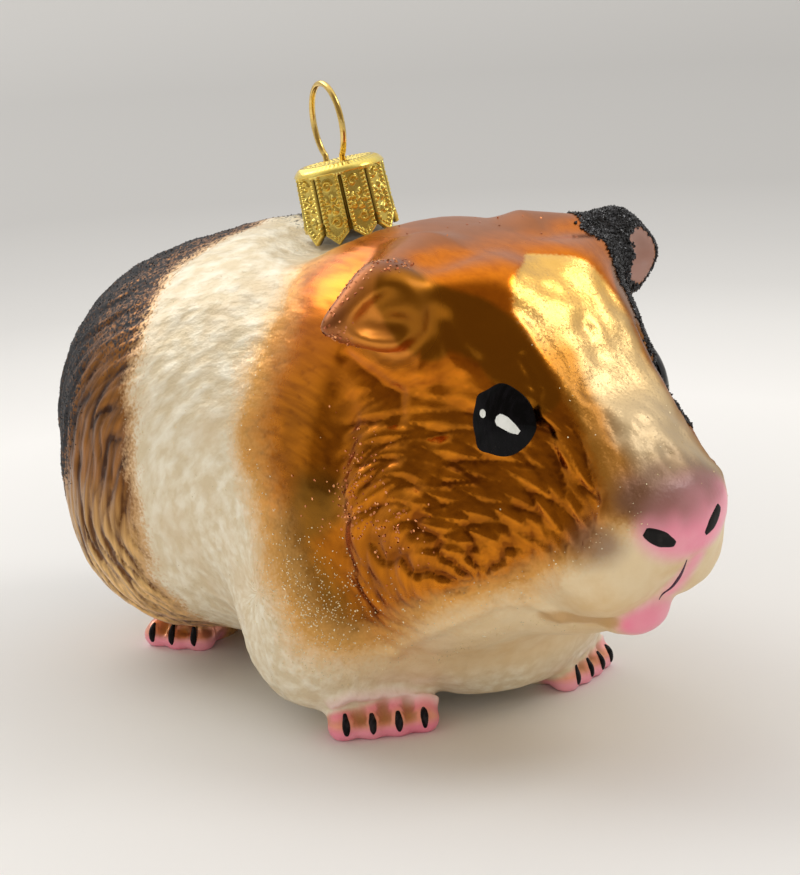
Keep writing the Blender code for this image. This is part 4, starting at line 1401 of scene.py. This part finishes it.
def eye_lights():
    x, y, radius = EYE_DOT
    across = np.linspace(-DOT_REACH, DOT_REACH, STROKE_STEPS)
    dot = np.stack((x + radius * across, np.full(STROKE_STEPS, y)), axis=1)
    dot_widths = DOT_TALLNESS * radius * np.sqrt(1 - across**2)
    comma = smooth_path([(*corner, 0) for corner in EYE_COMMA], STROKE_STEPS)[:, :2]
    comma_widths = EYE_COMMA_WIDTH * edge_at(np.linspace(0, 1, STROKE_STEPS), COMMA_TAPER)
    return joined((light_body(dot, dot_widths), light_body(comma, comma_widths)))


def mirrored(points, faces):
    return points * (-1, 1, 1), [face[::-1] for face in faces]


def build_eyes():
    black, white = enamel_look("black_eye_enamel"), enamel_look("white_light_paint")
    eye, lights = eye_body(), eye_lights()
    for word, shape, spots in (("right", eye, lights), ("left", mirrored(*eye), mirrored(*lights))):
        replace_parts(add_enamel(f"eye_{word}_dome", shape, black), f"eye_{word}")
        add_enamel(f"eye_{word}_lights", spots, white)


# ---- flakes and grit ----

BAKE_PATCH = 0.003
PLATE_HALF_THICKNESS = 0.12
BIT_STRETCH = (0.7, 1.3)
# The bits stuck on the skin: how many, the seed of their places, their radii in millimetres, how far
# they tip, how far proud of the glass they sit, and their slot.
BITS = {
    "copper_flakes": (700, 31, (0.07, 0.15), 0.35, 0.03, "amber_glass"),
    "gilt_glitter": (2600, 32, (0.04, 0.09), 0.35, 0.02, "cream_glass"),
    "black_grit": (9500, 33, (0.14, 0.27), 0.5, 0.05, "black_enamel"),
    "black_dust": (9000, 34, (0.05, 0.1), 0.5, 0.02, "black_enamel"),
}
# Spots of copper on the cheek, as a centre, a reach and a weight, and the weights of the other places.
COPPER_SPOTS = (
    ((19.0, -19.5, 27.5), 3.2, 1.0), ((17.5, -24.0, 24.5), 2.6, 0.8), ((18.5, -19.5, 33.0), 2.2, 0.5),
)
COPPER_RIM = 0.9
COPPER_CROWN = 0.02
CROWN_FLAKES_END = 9
GILT_SPOT = ((21.0, -14.5, 15.5), 5.0)
GILT_WEIGHTS = {"border": 0.25, "spot": 1.6, "throat": 0.5, "cream": 0.02, "blaze": 0.02}
GRIT_START = 5


def scatter(count, seed, shares):
    """Places and normals on the skin, likelier where the shares are large, and the numbers' source."""
    source = np.random.default_rng(seed)
    corners = skin_points[skin_quads]
    crossed = np.cross(corners[:, 2] - corners[:, 0], corners[:, 3] - corners[:, 1])
    weights = np.linalg.norm(crossed, axis=1) * shares[skin_quads].mean(axis=1)
    chosen = source.choice(len(skin_quads), count, p=weights / weights.sum())
    u, v = source.random((2, count, 1))
    a, b, c, d = corners[chosen].transpose(1, 0, 2)
    places = (1 - u) * ((1 - v) * a + v * d) + u * ((1 - v) * b + v * c)
    return places, unit(crossed[chosen]), source


def flake_shape():
    """A hexagonal plate of radius 1 and its faces."""
    ring = round_points(1, 0, around(6))
    up = (0, 0, PLATE_HALF_THICKNESS)
    sides = [(i, (i + 1) % 6, (i + 1) % 6 + 6, i + 6) for i in range(6)]
    return np.vstack((ring - up, ring + up)), [(5, 4, 3, 2, 1, 0), (6, 7, 8, 9, 10, 11), *sides]


def grain_shape():
    """A pointed grain of radius 1 and its faces."""
    points = np.array(((1, 0, 0), (0, 1, 0), (-1, 0, 0), (0, -1, 0), (0, 0, 1), (0, 0, -1)), float)
    faces = [(i, (i + 1) % 4, 4) for i in range(4)] + [((i + 1) % 4, i, 5) for i in range(4)]
    return points, faces


def set_bake_patches(item, places, template):
    """A small patch of the bake map for each bit, by where it lies round and along the animal."""
    low, high = skin_points.min(axis=0), skin_points.max(axis=0)
    middle = (low + high) / 2
    turn = np.arctan2(places[:, 0] - middle[0], places[:, 2] - middle[2]) / math.tau + 0.5
    root = np.stack((turn, (places[:, 1] - low[1]) / (high[1] - low[1])), axis=1)
    patch = (root[:, None] + template[:, :2] * BAKE_PATCH / 2).reshape(-1, 2)
    corners = np.empty(len(item.data.loops), int)
    item.data.loops.foreach_get("vertex_index", corners)
    item.data.uv_layers.new(name="OFBake").data.foreach_set("uv", patch[corners].ravel())


def build_bits(name, shape, shares, material):
    """Many small bodies set on the skin as one piece, likelier where the shares are large."""
    count, seed, radii, tilt, proud, slot = BITS[name]
    template, faces = shape
    places, normals, source = scatter(count, seed, shares)
    out = unit(normals + tilt * source.normal(size=(count, 3)))
    across = unit(np.cross(out, source.normal(size=(count, 3))))
    axes = np.stack((across, np.cross(out, across), out), axis=2)
    stretch = source.uniform(*radii, (count, 1, 1)) * source.uniform(*BIT_STRETCH, (count, 1, 3))
    points = places[:, None] + normals[:, None] * proud + np.einsum("nij,nkj->nki", axes, template * stretch)
    size = len(template)
    every = [tuple(first + i for i in face) for first in range(0, count * size, size) for face in faces]
    item = add_mesh(name, points.reshape(-1, 3), every, material, smooth=False)
    set_bake_patches(item, places, template)


def near(points, centre, reach):
    return np.exp(-np.square(distance(points, centre) / reach))


def copper_shares(paired):
    x, _, z = skin_points.T
    spots = sum(weight * near(paired, centre, reach) for centre, reach, weight in COPPER_SPOTS)
    crown = skin_shares["crown"] * fade("crown_flakes", z) * (x < CROWN_FLAKES_END)
    shares = spots + COPPER_RIM * skin_shares["ear_rim"] + COPPER_CROWN * crown
    return shares * (1 - skin_shares["dust"])


def gilt_shares(paired):
    _, y, z = skin_points.T
    border = amber_border(skin_shares, GILT_BORDER) * fade("border_low", z)
    places = {
        "border": border * fade("border_inside", skin_shares["amber"]),
        "spot": near(paired, *GILT_SPOT),
        "throat": fade("throat", path_distance(paired * (-1, 1, 1), THROAT_PATH)),
        "cream": cream_share(skin_shares) * fade("behind_face", y),
        "blaze": skin_shares["blaze"],
    }
    shares = sum(weight * places[name] for name, weight in GILT_WEIGHTS.items())
    return shares * (1 - skin_shares["pink"]) * (1 - skin_shares["dust"]) * fade("above_feet", z)


def build_flakes():
    paired = left_side(skin_points)
    x, y, _ = skin_points.T
    build_bits("copper_flakes", flake_shape(), copper_shares(paired), flake_look("copper_flakes"))
    build_bits("gilt_glitter", flake_shape(), gilt_shares(paired), flake_look("gilt_glitter"))
    black = flake_look("black_grit")
    on_ear = skin_shares["dust"] * (x > GRIT_START) * fade("ear_grit", y)
    build_bits("black_grit", grain_shape(), on_ear**2, black)
    on_back = skin_shares["dust"] * (y > 0)
    build_bits("black_dust", grain_shape(), on_back**2, black)


# ---- the cap and its loop of wire ----

CAP_WAY = (-0.065, 0.17, 0.98)
CAP_HEIGHT = 8.3
CAP_FOOT_RADIUS = 5.2
CAP_TOP_RADIUS = 4.95
CAP_WALL = 0.5
CAP_FOLD_IN = 0.15
CAP_BEVEL = 1.0
CAP_PETALS = 10
PETAL_ANGLE = math.tau / CAP_PETALS
FIRST_NOTCH = math.radians(15)
PETAL_NOTCH = 1.35
PETAL_FLATNESS = 0.6
PETAL_FLARE = 0.12
FLARE_HEIGHT = 3.0
CAP_COLUMNS = 400
WALL_ROWS = 96
BEVEL_ROWS = 12
BEVEL_BOW = 0.12
WALL_TOP = CAP_HEIGHT - CAP_BEVEL - BEVEL_BOW / 2
ROOF_ROWS = 46
ROOF_MIDDLE = 0.02
INNER_ROWS = 8
SLOT_HALF_WIDTH = (0.28, 0.17)
SLOT_DEPTH = 0.42
SLOT_TOP = 7.1
EMBOSS = 0.36
# How much painted shade darkens the wall's stamped hollows.
WALL_SHADE = 0.3
BEAD_SPACING = 0.46
BEAD_RADIUS = 0.21
BORDER_INSET = 0.5
# The raised line inside a petal's edge: how far in it runs, where it fades out and in, and its height.
EDGE_LINE = (0.2, 0.2, 0.1, 0.8)
ROSETTE_HEIGHT = 4.3
ROSETTE_RING = 0.713
ROSETTE_WIDTH = 0.3
ROSETTE_PETALS = 5
ROSETTE_HEART = 0.24
# Scrolls as heights over the petal's tip and the way they curl, and their spiral.
SCROLLS = ((2.35, 1), (6.3, -1))
SCROLL_OFFSET = 0.22
SCROLL_RADIUS = 0.36
SCROLL_GROWTH = 0.07
SCROLL_WIDTH = 0.14
SCROLL_RELIEF = 0.9
SCROLL_REACH = 0.75
PLEATS = 60
PLEAT_DEPTH = 0.05
PLEAT_SHADE = 3
PLEAT_START = (0.5, 0.75)
PLEAT_END = (1, 0.85)
DOT_SPACING = 0.52
DOT_HEIGHT = 0.1
DOTTED_SHARE = 0.93
ROOF_SHADE = 0.5
HOLE_RADIUS = 0.5
HOLE_DEPTH = 0.3
GAP = 0.05
HEIGHT_STEP = 0.05

WIRE_RADIUS = 0.33
WIRE_ROUNDNESS = 5
LOOP_HALF_SIZE = (3.8, 4.3)
LOOP_CENTRE_HEIGHT = 3.98
LOOP_LEG_SPREAD = 2.25
LOOP_LEG_DEPTH = 1.1
LOOP_OFFSET = -0.65
LOOP_LEAN = 0.09
LOOP_TURN = math.radians(-15)
LOOP_WAY = np.array((math.sin(LOOP_TURN), -math.cos(LOOP_TURN)))
LOOP_POINTS = 110


def from_cap(points):
    """Points on the cap's own axis, put where they are on the animal."""
    lean = Vector((0, 0, 1)).rotation_difference(Vector(CAP_WAY))
    return points @ np.array(lean.to_matrix()).T + np.array(CAP_BASE)


def glass_height(angles):
    """The height of the glass under the cap's wall at each angle, on the cap's own axis."""
    heights = np.arange(-CAP_HEIGHT, CAP_HEIGHT, HEIGHT_STEP)
    found = []
    for radius in (CAP_FOOT_RADIUS - CAP_WALL, CAP_FOOT_RADIUS):
        inside = glass_field(from_cap(round_points(radius, heights, angles[:, None]))) < 0
        found.append(np.where(inside, heights, -CAP_HEIGHT).max(axis=1))
    sunk = CAP_SEAT_DEPTH * fade("cap_seat_turn", np.cos(angles - CAP_SEAT_WAY))
    return np.max(found, axis=0) - sunk


def bead(away, radius=BEAD_RADIUS):
    return np.sqrt(np.maximum(1 - np.square(away / radius), 0))


def bead_row(along, beside):
    """Beads in a row, from the distances along it and beside it."""
    return bead(np.hypot((along + BEAD_SPACING / 2) % BEAD_SPACING - BEAD_SPACING / 2, beside))


def ridge(away, width):
    return np.exp(-np.square(away / width))


def border_relief(across, above_tip, half_width):
    """A petal's edge line and its border of beads, and how far in from the petal's edge each point is."""
    slope = PETAL_NOTCH / half_width
    from_side = half_width - np.abs(across)
    from_tip = (above_tip - slope * np.abs(across)) / math.hypot(1, slope)
    from_edge = np.minimum(from_side, from_tip)
    inset, out, full, height = EDGE_LINE
    edge_line = height * smooth_ramp(np.abs(from_edge - inset), out, full)
    side_beads = bead_row(above_tip, from_side - BORDER_INSET)
    tip_beads = bead_row(np.abs(across) * math.hypot(1, slope), from_tip - BORDER_INSET)
    return np.maximum(edge_line, np.where(from_side < from_tip, side_beads, tip_beads)), from_edge


def petal_relief(across, above_tip, half_width):
    """The stamped relief of a petal, from 0 to 1."""
    relief, from_edge = border_relief(across, above_tip, half_width)
    up = above_tip - ROSETTE_HEIGHT
    reach = np.hypot(across, up)
    petals = np.cos(ROSETTE_PETALS / 2 * np.arctan2(up, across)) ** 2
    rosette = np.maximum(petals * ridge(reach - ROSETTE_RING, ROSETTE_WIDTH), bead(reach, ROSETTE_HEART))
    relief = np.maximum(relief, rosette)
    for height, way in SCROLLS:
        up = above_tip - height
        spiral = SCROLL_RADIUS + SCROLL_GROWTH * np.arctan2(up, way * across)
        scroll = ridge(np.hypot(across - way * SCROLL_OFFSET, up) - spiral, SCROLL_WIDTH)
        relief = np.maximum(relief, SCROLL_RELIEF * scroll * (np.abs(up) < SCROLL_REACH))
    return relief * (from_edge > 0)


def roof_relief(radius, angles):
    """The roof's rings of dots, from 0 to 1."""
    row = np.round(radius / DOT_SPACING)
    count = np.maximum(np.round(math.tau * row), 1)
    beside = (angles * count / math.tau + 0.5) % 1 - 0.5
    return bead(np.hypot(beside * math.tau * radius / count, radius - row * DOT_SPACING))


def wire_holes(places):
    """1 in the two holes that the wire goes through, and 0 elsewhere."""
    legs = [(LOOP_OFFSET + side * LOOP_LEG_SPREAD) * LOOP_WAY for side in (-1, 1)]
    away = np.min([distance(places, leg) for leg in legs], axis=0)
    return np.exp(-((away / HOLE_RADIUS) ** 4))


def inner_rows(feet, corner):
    """Radii, heights and shares of painted shade of the wall's inside, from the roof down to the petals'
    edge.
    """
    radius = (CAP_FOOT_RADIUS - CAP_WALL - CAP_FOLD_IN) * corner
    for share in np.linspace(1, 0, INNER_ROWS):
        yield radius, feet + (CAP_HEIGHT - CAP_WALL - feet) * share, 1.0


def wall_rows(feet, tips, turn, corner):
    """The same of the stamped wall, from the petals' edge up."""
    half_width = CAP_FOOT_RADIUS * PETAL_ANGLE / 2
    across = turn * CAP_FOOT_RADIUS
    for share in np.linspace(0, 1, WALL_ROWS):
        height = feet + (WALL_TOP - feet) * share
        above_tip = height - tips
        relief = petal_relief(across, above_tip, half_width)
        slot_width = edge_at(height, ((0, SLOT_TOP), SLOT_HALF_WIDTH))
        slot = (np.abs(across) > half_width - slot_width) & (height < SLOT_TOP)
        flare = PETAL_FLARE * np.square(ramp(above_tip, FLARE_HEIGHT, 0.0))
        radius = CAP_FOOT_RADIUS + (CAP_TOP_RADIUS - CAP_FOOT_RADIUS) * height / WALL_TOP
        radius = radius * corner + flare - EMBOSS * (1 - relief) - SLOT_DEPTH * slot
        yield radius, height, np.where(slot, 1.0, WALL_SHADE * (1 - relief))


def bevel_rows(angles):
    """The same of the pleated bevel."""
    pleats = PLEAT_DEPTH * (1 + np.cos(PLEATS * angles))
    for share in np.linspace(0, 1, BEVEL_ROWS + 1)[1:]:
        pleat = pleats * smooth_ramp(share, *PLEAT_START) * smooth_ramp(share, *PLEAT_END)
        bow = BEVEL_BOW * math.sin(math.pi * share)
        radius = CAP_TOP_RADIUS - CAP_BEVEL * share + bow - pleat
        yield radius, WALL_TOP + CAP_BEVEL * share + bow, PLEAT_SHADE * pleat


def roof_rows(angles):
    """The same of the dotted roof, from its rim inwards."""
    for share in np.linspace(1, ROOF_MIDDLE, ROOF_ROWS)[1:]:
        radius = (CAP_TOP_RADIUS - CAP_BEVEL) * share
        dots = roof_relief(radius, angles) * (share < DOTTED_SHARE)
        hole = wire_holes(round_points(radius, 0, angles)[:, :2])
        height = CAP_HEIGHT - DOT_HEIGHT * (1 - dots) - HOLE_DEPTH * hole
        yield radius, height, np.maximum(ROOF_SHADE * (1 - dots), hole)


def build_cap():
    angles = FIRST_NOTCH + around(CAP_COLUMNS)
    turn = (angles - FIRST_NOTCH) % PETAL_ANGLE - PETAL_ANGLE / 2
    corner = 1 - PETAL_FLATNESS * (1 - math.cos(PETAL_ANGLE / 2) / np.cos(turn))
    tips = glass_height(angles) + GAP
    feet = tips + PETAL_NOTCH * np.abs(turn) / (PETAL_ANGLE / 2)
    rows = list(itertools.chain(
        inner_rows(feet, corner), wall_rows(feet, tips, turn, corner), bevel_rows(angles), roof_rows(angles),
    ))
    rings = [round_points(radius, height, angles) for radius, height, _ in rows]
    points = np.vstack(((0, 0, CAP_HEIGHT - CAP_WALL), *rings, (0, 0, CAP_HEIGHT - DOT_HEIGHT)))
    cap = add_mesh("crown_cap", from_cap(points), ring_faces(len(rows), CAP_COLUMNS), gold_look())
    # Each point's share of painted shade, for the gilt look.
    hollows = [np.broadcast_to(hollow, CAP_COLUMNS) for _, _, hollow in rows]
    set_attribute(cap, "hollow", np.concatenate(([1.0], *hollows, [ROOF_SHADE])))
    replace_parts(cap, "cap")


def build_loop():
    half_width, half_height = LOOP_HALF_SIZE
    low_angle = math.asin(LOOP_LEG_SPREAD / half_width)
    angles = np.linspace(low_angle, math.tau - low_angle, LOOP_POINTS)
    across = np.concatenate(([-LOOP_LEG_SPREAD], -half_width * np.sin(angles), [LOOP_LEG_SPREAD]))
    bow = LOOP_CENTRE_HEIGHT - half_height * np.cos(angles)
    up = np.concatenate(([-LOOP_LEG_DEPTH], bow, [-LOOP_LEG_DEPTH]))
    across = across + LOOP_OFFSET + LOOP_LEAN * up
    points = from_cap(np.column_stack((np.outer(across, LOOP_WAY), CAP_HEIGHT + up)))
    curve = bpy.data.curves.new("wire_loop", "CURVE")
    curve.dimensions = "3D"
    curve.bevel_depth = WIRE_RADIUS * MM
    curve.bevel_resolution = WIRE_ROUNDNESS
    curve.use_fill_caps = True
    spline = curve.splines.new("POLY")
    spline.points.add(len(points) - 1)
    for point, place in zip(spline.points, (points - ORIGIN) * MM):
        point.co = (*place, 1)
    curve.materials.append(wire_look())
    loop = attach(add_object("wire_loop", curve), BODY)
    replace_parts(loop, "hanger_loop")


build_claws()
build_muzzle_marks()
build_eyes()
build_flakes()
build_cap()
build_loop()

# ---- stage, light and camera ----

SIGHT_POINT = Vector((0, 0.0032, 0.025))
SIGHT_AZIMUTH = math.radians(-39)
SIGHT_ELEVATION = math.radians(15.3)
SIGHT_DISTANCE = 0.303
SIGHT_ROLL = math.radians(-3.6)
NEAR_CLIP = 0.01
LENS = 114.79
SENSOR = 36.0
LENS_SHIFT = (0.0297, 0.012)
# The lamps: where each is, its diameter, its watts, its colour, and whether the glass mirrors it.
LAMPS = {
    "key": ((-0.03, 0.66, 0.66), 0.8, 2.2, (1.0, 0.98, 0.95), True),
    "fill": ((-0.52, -0.68, 0.22), 0.8, 1.6, (1.0, 0.97, 0.93), False),
    "left": ((-0.75, 0.05, 0.35), 0.6, 0.7, (1.0, 0.98, 0.95), False),
    "back": ((-0.15, 0.60, 0.50), 0.3, 0.5, (1.0, 0.98, 0.95), True),
    "front": ((0.30, -0.28, 0.45), 0.22, 0.6, (1.0, 0.99, 0.97), True),
}
SKY_STOPS = ((0.0, (0.62, 0.61, 0.60)), (0.35, (0.62, 0.61, 0.60)), (0.9, (1.05, 1.04, 1.02)))
DIM_WAY = (-0.62, -0.77, 0.1)
DIM_EDGE = (0.05, 0.5)
DIM_COLOUR = (0.26, 0.215, 0.165)
FLOOR_RADIUS = 3.0
FLOOR_SIDES = 96
# The floor's colour at each distance from the animal, in metres: darker close round the animal as a
# painted shadow, and grey further out as painted shade.
FLOOR_SHADE_STOPS = (
    (0.0, (0.76, 0.755, 0.745)), (0.07, (0.86, 0.855, 0.845)), (0.12, (0.93, 0.925, 0.915)),
    (0.17, (0.79, 0.787, 0.777)), (0.20, (0.68, 0.677, 0.668)), (0.24, (0.60, 0.597, 0.59)),
    (0.30, (0.52, 0.517, 0.51)), (0.48, (0.52, 0.517, 0.51)), (0.8, (0.68, 0.677, 0.667)),
)


def build_camera():
    data = bpy.data.cameras.new("camera")
    data.lens = LENS
    data.sensor_width = SENSOR
    data.shift_x, data.shift_y = LENS_SHIFT
    data.clip_start = NEAR_CLIP
    camera = add_object("camera", data)
    cosine, sine = math.cos(SIGHT_AZIMUTH), math.sin(SIGHT_AZIMUTH)
    flat = math.cos(SIGHT_ELEVATION)
    level = Vector((cosine, sine, 0))
    back = Vector((sine * flat, -cosine * flat, math.sin(SIGHT_ELEVATION)))
    right = level * math.cos(SIGHT_ROLL) + back.cross(level) * math.sin(SIGHT_ROLL)
    turn = Matrix((right, back.cross(right), back)).transposed().to_4x4()
    camera.matrix_world = Matrix.Translation(SIGHT_POINT + back * SIGHT_DISTANCE) @ turn
    bpy.context.scene.camera = camera


def build_lamps():
    for name, (place, diameter, watts, colour, mirrors) in LAMPS.items():
        data = bpy.data.lights.new(name, "AREA")
        data.shape = "DISK"
        data.size = diameter
        data.energy = watts
        data.color = colour
        lamp = add_object(name, data)
        lamp.location = place
        lamp.visible_glossy = mirrors
        lamp.rotation_euler = (Vector(place) - SIGHT_POINT).to_track_quat("Z", "Y").to_euler()


def build_world():
    """Soft light all round: bright above, dim and warm on the side that the animal looks to."""
    world = bpy.data.worlds.new("studio")
    world.use_nodes = True
    bpy.context.scene.world = world
    sky = Nodes(world.node_tree)
    way = sky.node("TexCoord").outputs["Generated"]
    height = sky.node("SeparateXYZ", {0: way}).outputs["Z"]
    front = sky.node("VectorMath", {0: way, 1: DIM_WAY}, operation="DOT_PRODUCT").outputs["Value"]
    colour = sky.between(front, *DIM_EDGE, sky.stops(height, SKY_STOPS), DIM_COLOUR)
    sky.feed(sky.tree.nodes["Background"].inputs["Color"], colour)


def build_floor():
    """A pale sheet with painted shade: darker round the animal as a painted shadow, and grey further out."""
    look = Look("pale_sheet", Roughness=0.8)
    flat = look.stretched(look.place(), (1.0, 1.0, 0.0))
    far = look.node("VectorMath", {0: flat}, operation="LENGTH").outputs["Value"]
    look.set(Base_Color=look.stops(far, FLOOR_SHADE_STOPS))
    mesh = bpy.data.meshes.new("floor")
    rim = round_points(FLOOR_RADIUS, 0, around(FLOOR_SIDES))
    mesh.from_pydata(rim.tolist(), [], [tuple(range(FLOOR_SIDES))])
    mesh.materials.append(look.material)
    add_object("floor", mesh)


build_camera()
build_lamps()
build_world()
build_floor()
bpy.context.scene.view_settings.view_transform = "Standard"
